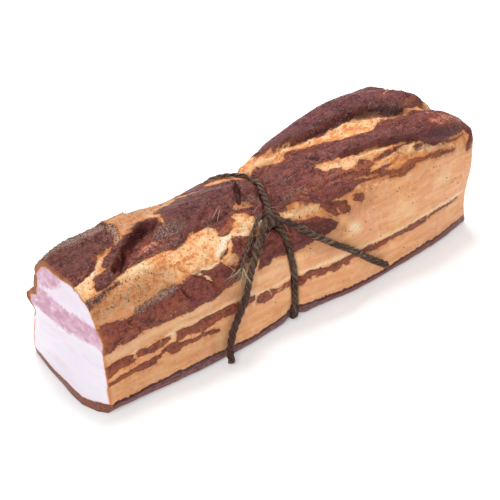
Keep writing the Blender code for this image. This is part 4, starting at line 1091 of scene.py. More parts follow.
def twine_tube(name, line, radius, pitch, seed, stain, ends=(1.2, 1.2), frames=None):
    """A tube of three plies twisted together. Its cross-section is the outline of three overlapping
    circles, which turns once every `pitch` mm, with loose fibres as noise along the plies. Each end
    is rounded over its own length, and `stain` may be one number or one a point. `frames` gives the
    directions outward and sideways where they don't follow from the slab."""
    count = len(line)
    outward, sideways = frames or frames_along(line)[1:]
    length = run_along(line)
    theta = np.linspace(0, 2 * np.pi, TUBE_SIDES, endpoint=False)[None]
    twist = 2 * np.pi * length[:, None] / pitch
    twist = twist + 0.5 * swell(length[:, None], 0 * length[:, None], 17, 5, seed)
    ply = (theta - twist) % (2 * np.pi / 3) - np.pi / 3
    lobe = PLY_MIDDLE * np.cos(ply) + np.sqrt(PLY_RADIUS**2 - (PLY_MIDDLE * np.sin(ply)) ** 2)
    fibre = rough(length[:, None] + 0 * theta, (theta - twist) * 3.2, 6.0, 0.9, seed + 1, 2)
    thick = 1 + 0.05 * swell(length, 0 * length, 9, 5, seed + 2)
    start = np.sqrt(np.clip(1 - (1 - np.clip(length / ends[0], 0, 1)) ** 2, 0.02, 1))
    end = np.sqrt(np.clip(1 - (1 - np.clip((length[-1] - length) / ends[1], 0, 1)) ** 2, 0.02, 1))
    spread = (radius * thick * start * end)[:, None] * (lobe + 0.045 * fibre)
    rings = line[:, None] + spread[..., None] * (
        np.cos(theta)[..., None] * outward[:, None] + np.sin(theta)[..., None] * sideways[:, None])
    rings[..., 2] = np.maximum(rings[..., 2], 0.05)
    points = np.concatenate((rings.reshape(-1, 3), line[:1], line[-1:]))
    made = mesh_object(name, placed(points), *closed_rings(count, TUBE_SIDES))

    def over(values):
        return with_middles(np.broadcast_to(values, (count, TUBE_SIDES)))

    attribute(made, "lobe", over(lobe))
    attribute(made, "stain", over(np.broadcast_to(stain, count)[:, None]))
    strand = ((theta - twist) / (2 * np.pi)) % 1
    uv_map(made, over(length[:, None] / 10), over(strand), 1.0)
    return made


def fibres(name, roots, directions, bends, lengths, thickness):
    """One piece of many loose fibres: each is a three-sided tube along root + direction t + bend t^2,
    which thins to its tip."""
    steps = np.linspace(0, 1, 8)
    t = steps[None, :, None]
    line = roots[:, None] + (directions[:, None] * t + bends[:, None] * t * t) * lengths[:, None, None]
    line[..., 2] = np.maximum(line[..., 2], 0.15)
    tangent = unit(directions[:, None] + 2 * bends[:, None] * t)
    side = unit(np.cross(tangent, ACROSS_FIBRE))
    other = np.cross(side, tangent)
    theta = (np.arange(3) * 2 * np.pi / 3)[None, None, :, None]
    wide = (thickness[:, None, None, None] / 2) * (1 - 0.75 * steps[None, :, None, None])
    rings = line[:, :, None] + wide * (np.cos(theta) * side[:, :, None] + np.sin(theta) * other[:, :, None])
    k, j = np.meshgrid(np.arange(len(steps) - 1), np.arange(3), indexing="ij")
    here, after = k * 3 + j, k * 3 + (j + 1) % 3
    one = np.stack((here, here + 3, after + 3, here, after + 3, after), -1).reshape(-1, 3)
    last = 3 * (len(steps) - 1)
    one = np.concatenate((one, ((0, 1, 2), (last, last + 2, last + 1))))
    faces = (np.arange(len(roots)) * 3 * len(steps))[:, None, None] + one[None]
    made = mesh_object(name, placed(rings.reshape(-1, 3)), faces.reshape(-1, 3))
    tones = np.random.default_rng(len(roots)).uniform(0, 1, len(roots))
    attribute(made, "tone", np.repeat(tones, 3 * len(steps)))
    return made


def loose_fibres(name, line, radius, count, seed, longest=4.5):
    """Fibres that stand off a stretch of twine, from places on its upper half, leaning along it."""
    rng = np.random.default_rng(seed)
    tangent, outward, sideways = frames_along(line)
    at = rng.integers(4, len(line) - 4, count)
    angle = rng.uniform(-1.7, 1.7, count)[:, None]
    off = np.cos(angle) * outward[at] + np.sin(angle) * sideways[at]
    forward = tangent[at] * rng.choice((-1, 1), count)[:, None]
    directions = forward * rng.uniform(0.5, 1.2, (count, 1)) + off * rng.uniform(0.15, 0.8, (count, 1))
    bends = off * rng.uniform(-0.45, 0.15, (count, 1)) + rng.normal(0, 0.25, (count, 3))
    roots = line[at] + off * radius * 0.82
    return fibres(
        name, roots, directions, bends, rng.uniform(1.2, longest, count), rng.uniform(0.09, 0.18, count))


def brush(name, line, radius, count, seed, lengths, spread, thickness=(0.08, 0.16)):
    """Fibres that fan out of a cut end of twine, from places over its last section."""
    rng = np.random.default_rng(seed)
    tangent, outward, sideways = (values[BRUSH_ROOT] for values in frames_along(line))
    angle, share = rng.uniform(0, 2 * np.pi, (count, 1)), np.sqrt(rng.uniform(0, 1, (count, 1)))
    off = np.cos(angle) * outward + np.sin(angle) * sideways
    roots = line[BRUSH_ROOT] + off * share * radius * 0.8
    directions = tangent + off * share * spread + rng.normal(0, 0.08, (count, 3))
    bends = off * rng.uniform(-0.1, 0.35, (count, 1)) + rng.normal(0, 0.16, (count, 3))
    long, thick = rng.uniform(*lengths, count), rng.uniform(*thickness, count)
    return fibres(name, roots, directions, bends, long, thick)


STRAWS = (  # stray fibres that lie on the meat: (x, s) of both ends
    (-43.4, 71.2, -31.6, 77.4), (-41.6, 69.6, -34, 75.6), (-50, 66.5, -46.4, 71.5),
    (-34, 69, -29, 71), (-21, 66, -14, 69), (-24, 62, -17, 65.6),
    (-13, 66, -6, 62.6), (-20.5, 69.5, -17, 73.5), (-52, 47, -45, 51),
    (-49, 44, -53.5, 49.5), (-53, 42.6, -47, 46.5), (-50.5, 50, -44, 47),
    (-19, 53, -25, 50), (-12.5, 52.6, -9, 49), (-62, 3.5, -56, 6),
)


def stray_straws(body, outward):
    """One piece of straws: each bows between its two ends, a little off the skin."""
    x0, s0, x1, s1 = np.array(STRAWS).T
    bow = on_body(outward, x0, s0) * STRAW_LIFT
    start = on_body(body, x0, s0) + bow
    reach = on_body(body, x1, s1) + STRAW_LIFT * on_body(outward, x1, s1) - start
    length = np.linalg.norm(reach, axis=1)
    thick = np.full(len(STRAWS), STRAW_THICK)
    return fibres("stray_straws", start, reach / length[:, None] + bow, -bow, length, thick)


def knot_turn(name, place, axis, seed):
    """One turn of twine in the knot: a ring round its axis, whose ends overlap inside."""
    u = unit(np.cross(axis, (0.2, -0.4, 0.9)))
    v = np.cross(axis, u)
    t = np.linspace(-0.1, 2 * np.pi + 0.1, 64)[:, None]
    outward = np.cos(t) * u + np.sin(t) * v
    tangent = -np.sin(t) * u + np.cos(t) * v
    frames = outward, np.cross(outward, tangent)
    return twine_tube(name, place + TURN_RADIUS * outward, TWINE / 2, TURN_PITCH, seed, 0.15, frames=frames)


def knot_core(place, lengthwise):
    """The twine squeezed inside the knot: an ellipsoid with ridges, seen between the turns."""
    rows, around = 24, 28
    polar = np.linspace(CORE_POLE, np.pi - CORE_POLE, rows)[:, None]
    theta = np.linspace(0, 2 * np.pi, around, endpoint=False)[None]
    second = unit(np.cross(lengthwise, (0, 0, 1)))
    third = np.cross(lengthwise, second)
    size = CORE_RADIUS + 0.18 * np.sin(theta * 3 + polar * 9)
    rings = place + size[..., None] * (
        CORE_STRETCH * np.cos(polar)[..., None] * -lengthwise
        + (np.sin(polar) * np.cos(theta))[..., None] * second
        + (np.sin(polar) * np.sin(theta))[..., None] * third)
    points = np.concatenate((rings.reshape(-1, 3), [rings[0].mean(0)], [rings[-1].mean(0)]))
    made = mesh_object("knot_core", placed(points), *closed_rings(rows, around))

    def over(values):
        values = np.broadcast_to(values, (rows, around))
        return np.append(values.ravel(), (values[0, 0], values[-1, 0]))

    # a lobe of 0.7 lays the painted shade between plies over the whole core, which lies deep between the
    # turns
    attribute(made, "lobe", over(0.7))
    attribute(made, "stain", over(0.2))
    uv_map(made, over(polar), over(theta / (2 * np.pi)), 1.0)
    return made


# ---- Materials ---------------------------------------------------------------------------------
class Paint:
    """A material whose node tree is written as arithmetic: each method adds nodes and gives their
    output."""

    def __init__(self, name, constants):
        self.material = bpy.data.materials.new(name)
        self.material.use_nodes = True
        self.nodes = self.material.node_tree.nodes
        self.links = self.material.node_tree.links
        self.shader = self.nodes["Principled BSDF"]
        for socket, value in constants.items():
            self.feed(self.shader.inputs[socket], value)
        self.place = self.node("ShaderNodeTexCoord").outputs["Object"]
        self.skin = self.node("ShaderNodeUVMap", uv_map="skin").outputs["UV"]

    def feed(self, socket, value):
        if isinstance(value, bpy.types.NodeSocket):
            self.links.new(value, socket)
        elif socket.type == "RGBA":
            socket.default_value = (*value, 1)
        else:
            socket.default_value = value

    def node(self, kind, inputs=None, **settings):
        made = self.nodes.new(kind)
        for key, value in settings.items():
            setattr(made, key, value)
        for key, value in (inputs or {}).items():
            self.feed(made.inputs[key], value)
        return made

    def math(self, operation, a, b=0.0, clamp=False):
        return self.node("ShaderNodeMath", {0: a, 1: b}, operation=operation, use_clamp=clamp).outputs[0]

    def add(self, *terms):
        total = terms[0]
        for term in terms[1:]:
            total = self.math("ADD", total, term)
        return total

    def times(self, a, b):
        return self.math("MULTIPLY", a, b)

    def weighted(self, *terms):
        """The sum of values times their weights."""
        return self.add(*(self.times(value, weight) for value, weight in terms))

    def other(self, value):
        return self.math("SUBTRACT", 1.0, value, clamp=True)

    def apart(self, value, middle):
        """How far a value is from a middle one."""
        return self.math("ABSOLUTE", self.math("SUBTRACT", value, middle))

    def swing(self, noise, reach):
        """A noise about 0.5 as one about 0, which goes half its reach up and down."""
        return self.times(self.math("SUBTRACT", noise, 0.5), reach)

    def step(self, value, low, high):
        """0 below low, 1 above high, with a smoothstep between."""
        inputs = {"Value": value, "From Min": low, "From Max": high}
        return self.node("ShaderNodeMapRange", inputs, interpolation_type="SMOOTHSTEP").outputs["Result"]

    def fall(self, value, low, high):
        """1 below low, 0 above high, with a smoothstep between."""
        return self.other(self.step(value, low, high))

    def mix(self, share, a, b):
        return self.node("ShaderNodeMix", {0: share, 6: a, 7: b}, data_type="RGBA").outputs[2]

    def coats(self, colour, *coats):
        """Coats over a colour, one after another: (colour, strength, mask)."""
        for coat, strength, mask in coats:
            colour = self.mix(self.times(mask, strength), colour, coat)
        return colour

    def blend(self, share, a, b):
        return self.node("ShaderNodeMix", {0: share, 2: a, 3: b}, data_type="FLOAT").outputs[0]

    def attribute(self, name):
        return self.node("ShaderNodeAttribute", attribute_name=name).outputs["Fac"]

    def axis(self, place, number):
        return self.node("ShaderNodeSeparateXYZ", {0: place}).outputs[number]

    def stretched(self, place, x, y, z=1.0):
        return self.node("ShaderNodeVectorMath", {0: place, 1: (x, y, z)}, operation="MULTIPLY").outputs[0]

    def noise(self, place, scale, detail=3.0, roughness=0.55, distortion=0.0):
        """Noise about 0.5, in the place's units over the scale."""
        inputs = dict(zip(("Vector", "Scale", "Detail", "Roughness", "Distortion"),
                          (place, scale, detail, roughness, distortion)))
        return self.node("ShaderNodeTexNoise", inputs).outputs[0]

    def finish(self, colour, roughness, height, subsurface=None):
        """Feeds the shader. Height is in mm."""
        bump = self.node("ShaderNodeBump", {"Height": height, "Distance": MM, "Strength": 1.0})
        self.feed(self.shader.inputs["Base Color"], colour)
        self.feed(self.shader.inputs["Roughness"], roughness)
        self.feed(self.shader.inputs["Normal"], bump.outputs[0])
        if subsurface is not None:
            self.feed(self.shader.inputs["Subsurface Weight"], subsurface)
        return self.material


FAT_DARK, FAT_MID, FAT_LIGHT = (0.46, 0.155, 0.055), (0.78, 0.335, 0.130), (0.90, 0.465, 0.215)
FAT_PALE, FAT_CREAM, FAT_PINK = (0.95, 0.66, 0.37), (0.96, 0.82, 0.66), (0.84, 0.385, 0.205)
FAT_HALO, FAT_SMOKE_AND_SHADE, FRECKLE = (0.50, 0.14, 0.045), (0.30, 0.125, 0.060), (0.21, 0.070, 0.03)
TOP_FAT_DARK, TOP_FAT_LIGHT = (0.76, 0.270, 0.082), (0.95, 0.455, 0.170)
LEAN_DARK, LEAN_MID, LEAN_LIGHT = (0.080, 0.014, 0.012), (0.210, 0.040, 0.031), (0.33, 0.084, 0.063)
LEAN_WARM, LEAN_PINK, LEAN_BORDER = (0.35, 0.080, 0.038), (0.66, 0.22, 0.145), (0.27, 0.075, 0.030)
LEAN_WINE_SHEEN_AND_SHADE, LEAN_FIBRE_SHEEN, LEAN_SMOKE_AND_SHADE = (0.130, 0.024, 0.038), (0.44, 0.21, 0.175), (0.075, 0.024, 0.020)
MARBLING, CREASE_SHADE, LEAN_SPECK = (0.50, 0.21, 0.10), (0.040, 0.010, 0.011), (0.60, 0.41, 0.34)
RUST_LEAN, RUST_FAT, PIT_SHADE = (0.38, 0.100, 0.028), (0.68, 0.22, 0.06), (0.045, 0.009, 0.008)
CRUST_DARK, CRUST_MID = (0.040, 0.022, 0.020), (0.17, 0.085, 0.070)
CRUST_LIGHT, CRUST_VEIL = (0.50, 0.35, 0.29), (0.44, 0.29, 0.25)
RIND_DARK, RIND_MID, RIND_LIGHT = (0.06, 0.012, 0.014), (0.13, 0.040, 0.042), (0.27, 0.13, 0.13)
RIND_WARM, RIND_CUT, RIND_CUT_LIGHT = (0.25, 0.072, 0.050), (0.20, 0.062, 0.038), (0.30, 0.11, 0.07)
FRESH_FAT, FRESH_FAT_PINK = (0.88, 0.81, 0.895), (0.86, 0.69, 0.785)
FRESH_FAT_CLOUD, FRESH_FAT_UPPER = (0.86, 0.84, 0.90), (0.78, 0.66, 0.77)
FRESH_LEAN, FRESH_LEAN_LIGHT, FRESH_LEAN_DARK = (0.62, 0.335, 0.45), (0.72, 0.46, 0.57), (0.50, 0.20, 0.30)
CUT_EDGE, CUT_RING = (0.72, 0.33, 0.17), (0.50, 0.165, 0.050)


def meat_masks(paint):
    """The noises, and the masks of lean, fresh cut, rind, crust and the rest. The masks are distances in
    mm, roughened by noise and cut off over a narrow step, so that their borders stay crisp. Over the
    far end the noises follow the place, as the UV map has its rings there."""
    m = SimpleNamespace()
    m.fine = paint.noise(paint.place, 1900, 2.0)
    m.grain = paint.noise(paint.place, 850, 3.0, 0.6)
    m.clots = paint.noise(paint.place, 420, 3.0, 0.6, 0.4)
    m.spots = paint.noise(paint.place, 210, 3.0, 0.6, 0.3)
    m.broad = paint.noise(paint.place, 65, 3.0)
    m.along, up = paint.axis(paint.skin, 0), paint.axis(paint.skin, 1)
    on_far = paint.step(m.along, 2.55, 2.58)
    m.fibre = paint.blend(
        on_far, paint.noise(paint.stretched(paint.skin, 14, 85), 1.0, 4.0, 0.65, 0.6),
        paint.noise(paint.stretched(paint.place, 140, 220, 700), 1.0, 4.0, 0.65, 0.6))
    m.bands = paint.blend(
        on_far, paint.noise(paint.stretched(paint.skin, 5, 38), 1.0, 4.0, 0.6, 0.4),
        paint.noise(paint.stretched(paint.place, 50, 70, 300), 1.0, 4.0, 0.6, 0.4))
    m.wobble = paint.add(paint.swing(m.grain, 1.6), paint.swing(m.clots, 2.0))
    folds = paint.noise(paint.place, 150, 3.0, 0.5, 1.2)
    m.crease = paint.times(paint.fall(paint.apart(folds, 0.5), 0.0, 0.030), paint.step(m.broad, 0.40, 0.54))
    m.on_top = paint.times(
        paint.step(up, 0.44, 0.53), paint.other(paint.add(paint.step(up, 1.22, 1.34), on_far)))

    m.lean_depth, m.fresh_depth = paint.attribute("lean"), paint.attribute("fresh")
    m.rind_depth, m.crust = paint.attribute("rind"), paint.attribute("crust")
    m.lean = paint.step(paint.add(m.lean_depth, m.wobble), -0.35, 0.35)
    m.fresh = paint.step(paint.add(m.fresh_depth, paint.times(m.wobble, 0.5)), -0.2, 0.2)
    m.rind = paint.step(paint.add(m.rind_depth, m.wobble), -0.25, 0.25)
    dense = paint.add(m.crust, paint.swing(m.grain, 2.2), paint.swing(m.spots, 2.0))
    m.peppered = paint.times(paint.step(m.crust, 0.04, 0.30), paint.step(dense, 0.25, 0.80))
    m.rust = paint.step(paint.add(paint.attribute("rust"), paint.swing(m.clots, 1.4)), 0.15, 0.95)
    m.warm = paint.math("ADD", paint.attribute("warm"), paint.swing(m.clots, 0.9), clamp=True)
    patchy = paint.times(paint.add(m.spots, m.clots), 1.1)
    # smoke tone, and painted shade by the ridges, the pocket and the twine, in patches
    m.smoke = paint.math("MULTIPLY", paint.attribute("smoke"), patchy, clamp=True)
    m.pit = paint.step(paint.add(paint.attribute("pit"), paint.swing(m.grain, 0.25)), 0.05, 0.95)
    return m


def fat_colour(paint, m):
    """Smoked fat: banded on the sides, clotted and freckled on top, browner beside lean, pale in places with
    painted highlights among them, and darker under smoke and painted shade."""
    side = paint.coats(
        paint.mix(paint.step(m.bands, 0.34, 0.66), FAT_MID, FAT_LIGHT),
        (FAT_PINK, 0.6, paint.step(m.broad, 0.46, 0.66)), (FAT_DARK, 0.16, paint.step(m.clots, 0.52, 0.66)),
        (FAT_PALE, 0.35, paint.step(m.spots, 0.52, 0.68)))
    top_side = paint.coats(
        paint.mix(paint.step(m.clots, 0.40, 0.60), TOP_FAT_DARK, TOP_FAT_LIGHT),
        (FAT_PALE, 0.55, paint.step(m.spots, 0.47, 0.60)), (FAT_DARK, 0.55, paint.fall(m.spots, 0.36, 0.46)),
        (FAT_DARK, 0.45, paint.fall(m.grain, 0.34, 0.46)), (FAT_PALE, 0.30, paint.step(m.grain, 0.56, 0.68)))
    halo = paint.step(paint.add(m.lean_depth, paint.times(m.wobble, 2.2)), -1.9, 0.2)
    uneven = paint.add(0.25, paint.times(m.grain, 1.3))
    pale_and_highlight = paint.math("MULTIPLY", paint.attribute("pale_and_highlight"), uneven, clamp=True)
    freckles = paint.step(paint.noise(paint.place, 950, 2.0), 0.635, 0.675)
    return paint.coats(
        paint.mix(m.on_top, side, top_side), (FAT_HALO, 0.5, halo), (RUST_FAT, 0.75, m.rust),
        (FAT_PALE, 1.0, pale_and_highlight), (FAT_CREAM, 0.6, paint.step(pale_and_highlight, 0.62, 0.95)),
        (FRECKLE, paint.add(0.10, paint.times(m.on_top, 0.7)), freckles), (FAT_SMOKE_AND_SHADE, 0.85, m.smoke))


def lean_colour(paint, m):
    """Smoked lean: light fibres on dark ones with painted sheen on them, warm patches, wine-tinted patches
    that are partly own tone and partly painted sheen and shade, marbling, painted shade in the creases, and
    pale specks."""
    # veil: painted sheen on the light fibres
    veil = paint.times(paint.step(m.fibre, 0.58, 0.74), paint.step(m.grain, 0.46, 0.66))
    marbling = paint.times(
        paint.fall(paint.apart(m.fibre, 0.47), 0.004, 0.018), paint.step(m.spots, 0.54, 0.62))
    border = paint.fall(paint.add(m.lean_depth, paint.times(m.wobble, 1.5)), 0.2, 2.0)
    # pale specks on the lean, stronger on top
    light_specks = paint.step(paint.noise(paint.place, 1700, 2.0), 0.61, 0.68)
    return paint.coats(
        paint.mix(paint.step(m.fibre, 0.30, 0.62), LEAN_DARK, LEAN_MID),
        (LEAN_WARM, 1.4, m.warm), (LEAN_PINK, 1.0, paint.step(m.warm, 0.75, 1.0)),
        (LEAN_LIGHT, 0.5, paint.step(m.spots, 0.50, 0.72)), (LEAN_DARK, 0.6, paint.fall(m.clots, 0.36, 0.48)),
        (LEAN_WINE_SHEEN_AND_SHADE, 0.85, paint.attribute("wine_sheen_and_shade")), (LEAN_FIBRE_SHEEN, 0.42, veil), (MARBLING, 0.6, marbling),
        (RUST_LEAN, 0.8, m.rust), (LEAN_BORDER, 0.5, border),
        (CREASE_SHADE, paint.add(0.22, paint.times(m.on_top, 0.33)), m.crease),
        (LEAN_SPECK, paint.add(0.10, paint.times(m.on_top, 0.30)), light_specks), (LEAN_SMOKE_AND_SHADE, 0.6, m.smoke))


def crusted(paint, m, smoked):
    """Dried spice over smoked meat: a dusty veil where it is thick, with light and dark specks."""
    light = paint.step(paint.noise(paint.place, 1500, 2.0), 0.53, 0.61)
    light_share = paint.blend(paint.step(m.crust, 0.3, 1.0), 0.50, 0.85)
    dark = paint.fall(paint.noise(paint.place, 1400, 2.0), 0.40, 0.48)
    return paint.coats(
        smoked, (CRUST_MID, 0.40, m.peppered), (CRUST_VEIL, 0.45, paint.step(m.crust, 0.70, 1.0)),
        (CRUST_LIGHT, paint.times(light, light_share), m.peppered),
        (CRUST_DARK, paint.times(dark, 0.85), m.peppered))


def rind_colour(paint, m):
    """Leathery rind with streaks along it, darkest at its upper edge, where the dark band is painted shade in
    the groove between rind and fat.
    """
    streaks = paint.noise(paint.stretched(paint.skin, 30, 110), 1.0, 4.0, 0.65)
    return paint.coats(
        paint.mix(paint.step(streaks, 0.35, 0.62), RIND_MID, RIND_LIGHT),
        (RIND_WARM, 0.8, m.warm), (RIND_DARK, 0.35, paint.step(m.fine, 0.5, 0.7)),
        # painted shade along the groove at the rind's upper edge
        (RIND_DARK, 1.0, paint.fall(m.rind_depth, 0.4, 1.7)))


def cut_colour(paint, m):
    """The fresh cut: white fat with pinkish bands, a duller one above the lean band, and pink lean with
    darker patches. Smoke has tanned its edge."""
    bands = paint.noise(paint.stretched(paint.place, 30, 45, 260), 1.0, 3.0, 0.5, 0.5)
    patches = paint.noise(paint.stretched(paint.place, 1, 260, 420), 1.0, 4.0, 0.62, 0.5)
    cloud = paint.noise(paint.place, 130, 2.0)
    above_band = paint.step(paint.axis(paint.place, 2), 0.042, 0.048)
    fat = paint.coats(
        FRESH_FAT, (FRESH_FAT_PINK, 0.55, paint.step(bands, 0.46, 0.70)),
        (FRESH_FAT_CLOUD, 0.3, paint.step(cloud, 0.5, 0.7)),
        (FRESH_FAT_UPPER, paint.add(0.25, paint.times(cloud, 0.5)), above_band))
    lean = paint.coats(
        paint.mix(paint.step(cloud, 0.40, 0.62), FRESH_LEAN, FRESH_LEAN_LIGHT),
        (FRESH_LEAN_DARK, 0.6, paint.step(patches, 0.48, 0.66)),
        (FRESH_FAT, 0.55, paint.fall(patches, 0.34, 0.44)))
    share = paint.step(paint.add(m.lean_depth, paint.times(m.wobble, 1.6)), -1.3, 1.3)
    edge = paint.fall(m.fresh_depth, 0.0, 1.2)
    return paint.coats(paint.mix(share, fat, lean), (CUT_EDGE, paint.blend(share, 0.25, 0.75), edge))


def meat_colour(paint, m):
    """Smoked fat and lean under crust, with the rind at their foot, and the fresh cut within its tanned
    ring."""
    smoked = crusted(paint, m, paint.mix(m.lean, fat_colour(paint, m), lean_colour(paint, m)))
    smoked = paint.coats(paint.mix(m.rind, smoked, rind_colour(paint, m)), (PIT_SHADE, 0.9, m.pit))
    ring = paint.fall(paint.apart(m.fresh_depth, -0.3), 0.5, 1.6)
    ring_share = paint.times(paint.blend(m.lean, 0.25, 0.85), paint.other(m.rind))
    cut_rind = paint.mix(paint.step(m.grain, 0.40, 0.62), RIND_CUT, RIND_CUT_LIGHT)
    smoked = paint.coats(
        smoked, (CUT_RING, ring_share, ring), (cut_rind, paint.fall(m.along, -0.004, 0.004), m.rind))
    return paint.mix(m.fresh, smoked, cut_colour(paint, m))


def meat_roughness(paint, m):
    """Lean is glossier than fat, and more so where it is wet. Crust is dull."""
    fat, lean = paint.add(0.36, paint.times(m.grain, 0.30)), paint.add(0.21, paint.times(m.fibre, 0.42))
    wet = paint.step(paint.noise(paint.place, 150, 2.0), 0.48, 0.66)
    roughness = paint.math("SUBTRACT", paint.blend(m.lean, fat, lean), paint.times(wet, 0.12))
    roughness = paint.blend(m.peppered, roughness, 0.80)
    roughness = paint.blend(m.rind, roughness, paint.add(0.24, paint.times(m.grain, 0.25)))
    return paint.blend(m.fresh, roughness, paint.add(0.30, paint.times(m.spots, 0.16)))


def meat_height(paint, m):
    """Relief finer than the mesh, in mm: clotted fat, fibrous lean with creases, pebbly crust and a
    smooth cut."""
    fat = paint.weighted(
        (m.fine, 0.05), (m.grain, paint.add(0.08, paint.times(m.on_top, 0.34))),
        (m.clots, paint.add(0.05, paint.times(m.on_top, 0.75))))
    lean = paint.weighted(
        (m.fibre, 0.75), (m.fine, 0.16), (m.grain, 0.45), (m.clots, 0.6), (m.crease, -0.55))
    crust = paint.weighted((m.grain, 0.9), (m.fine, 0.25), (m.clots, 0.5))
    height = paint.blend(m.peppered, paint.blend(m.lean, fat, lean), crust)
    height = paint.blend(m.rind, height, paint.times(m.grain, 0.45))
    return paint.blend(m.fresh, height, paint.weighted((m.spots, 0.12), (m.fine, 0.015)))


def meat_material():
    """Fat, lean, rind, crust and the fresh cut in one skin."""
    paint = Paint("smoked_meat", {
        "Subsurface Radius": (1.0, 0.42, 0.26), "Subsurface Scale": 0.0016, "Specular IOR Level": 0.30,
    })
    m = meat_masks(paint)
    subsurface = paint.blend(m.fresh, paint.blend(m.lean, 0.16, 0.04), 0.25)
    return paint.finish(meat_colour(paint, m), meat_roughness(paint, m), meat_height(paint, m), subsurface)


def grain_material(name, dark, light, roughness):
    """Grains and fibres, each of its own tone between dark and light, with light mottles."""
    paint = Paint(name, {"Specular IOR Level": 0.5})
    mottle = paint.noise(paint.place, 3000, 2.0)
    tone = paint.mix(paint.attribute("tone"), dark, light)
    colour = paint.coats(tone, (light, 0.5, paint.step(mottle, 0.45, 0.7)))
    return paint.finish(colour, roughness, paint.times(mottle, 0.06))


TWINE_DARK, TWINE_BROWN = (0.030, 0.015, 0.011), (0.185, 0.092, 0.056)
TWINE_OCHRE, TWINE_GREY = (0.48, 0.27, 0.130), (0.20, 0.165, 0.140)
TWINE_STAIN_DARK, TWINE_STAIN_LIGHT = (0.032, 0.011, 0.010), (0.17, 0.075, 0.055)


def twine_material():
    """Smoked jute: fibres run along each ply, with painted shade in the grooves between plies, ochre and
    bluish grey fibres among them, and reddish where it is stained by the meat."""
    paint = Paint("smoked_twine", {"Specular IOR Level": 0.15, "Sheen Weight": 0.1, "Sheen Roughness": 0.5})
    thread = paint.noise(paint.stretched(paint.skin, 1.6, 22), 1.0, 4.0, 0.7, 0.6)
    tint = paint.noise(paint.stretched(paint.skin, 1.0, 8), 1.0, 3.0, 0.6)
    patches = paint.noise(paint.place, 130, 3.0)
    stained = paint.mix(paint.step(thread, 0.35, 0.7), TWINE_STAIN_DARK, TWINE_STAIN_LIGHT)
    colour = paint.coats(
        paint.mix(paint.step(thread, 0.36, 0.62), TWINE_DARK, TWINE_BROWN),
        (TWINE_OCHRE, 0.7, paint.step(tint, 0.52, 0.66)), (TWINE_GREY, 0.38, paint.step(patches, 0.52, 0.64)),
        (TWINE_DARK, 0.55, paint.fall(patches, 0.38, 0.50)),
        (TWINE_DARK, 0.6, paint.fall(thread, 0.30, 0.44)),
        # painted shade in the grooves between the plies
        (TWINE_DARK, 0.75, paint.fall(paint.attribute("lobe"), 0.76, 0.97)),
        (stained, 1.0, paint.attribute("stain")))
    height = paint.weighted((thread, 0.75), (paint.noise(paint.place, 1600, 2.0), 0.25))
    return paint.finish(colour, paint.add(0.62, paint.times(thread, 0.25)), height)


def floor_material():
    """White paper that glows a little, so that it stays white in the slab's shade."""
    paint = Paint("white_floor", {
        "Specular IOR Level": 0.0, "Emission Color": (1, 1, 1), "Emission Strength": FLOOR_GLOW,
    })
    return paint.finish((0.80, 0.80, 0.80), 0.9, 0.0)


# ---- Camera, light and floor -------------------------------------------------------------------
CAMERA_AZIMUTH, CAMERA_ELEVATION, CAMERA_AWAY = math.radians(-42.507), math.radians(33.675), 850
CAMERA_TARGET = (-12.0, -6.1, 28.0)
LENS, SENSOR = 118.76, 36
FLOOR_REACH, FLOOR_SINK, FLOOR_GLOW = 3, 0.0002, 0.36  # m, m below the slab, and emission
WORLD_LIGHT = 0.42
LAMP_TARGET = (0, 0, 0.03)
LAMPS = {  # (azimuth, elevation, distance m, width m, power W)
    "top_softbox": (150.0, 68.0, 1.1, 0.42, 9.2),
    "front_fill": (-60.0, 40.0, 1.3, 0.45, 4.8),
}


def direction(azimuth, elevation):
    """The unit direction at an azimuth from -Y and an elevation, in radians."""
    level = math.cos(elevation)
    return np.array((math.sin(azimuth) * level, -math.cos(azimuth) * level, math.sin(elevation)))


def aimed(made, place, target):
    """Puts a camera or lamp at a place and turns its -Z to the target, with its X level."""
    back = unit(np.asarray(place) - np.asarray(target))
    made.location = place
    made.rotation_euler = (math.acos(back[2]), 0, math.atan2(back[0], -back[1]))
    bpy.context.scene.collection.objects.link(made)


def add_camera():
    data = bpy.data.cameras.new("camera")
    data.lens, data.sensor_width = LENS, SENSOR
    data.clip_start, data.clip_end = 0.05, 20
    target = placed(CAMERA_TARGET)
    camera = bpy.data.objects.new("camera", data)
    aimed(camera, target + direction(CAMERA_AZIMUTH, CAMERA_ELEVATION) * CAMERA_AWAY * MM, target)
    bpy.context.scene.camera = camera


def add_light():
    for name, (azimuth, elevation, away, size, power) in LAMPS.items():
        data = bpy.data.lights.new(name, "AREA")
        data.shape, data.size, data.energy = "DISK", size, power
        lamp = bpy.data.objects.new(name, data)
        aimed(lamp, direction(math.radians(azimuth), math.radians(elevation)) * away, LAMP_TARGET)
    world = bpy.data.worlds.new("soft_white")
    world.use_nodes = True
    background = world.node_tree.nodes["Background"]
    background.inputs["Color"].default_value = (1, 1, 1, 1)
    background.inputs["Strength"].default_value = WORLD_LIGHT
    bpy.context.scene.world = world
    bpy.context.scene.view_settings.view_transform = "Standard"


def add_floor():
    corners = np.array(((-1, -1, 0), (1, -1, 0), (1, 1, 0), (-1, 1, 0))) * FLOOR_REACH
    floor = mesh_object("floor", corners - (0, 0, FLOOR_SINK), np.array(((0, 1, 2, 3),)))
    floor.data.materials.append(floor_material())


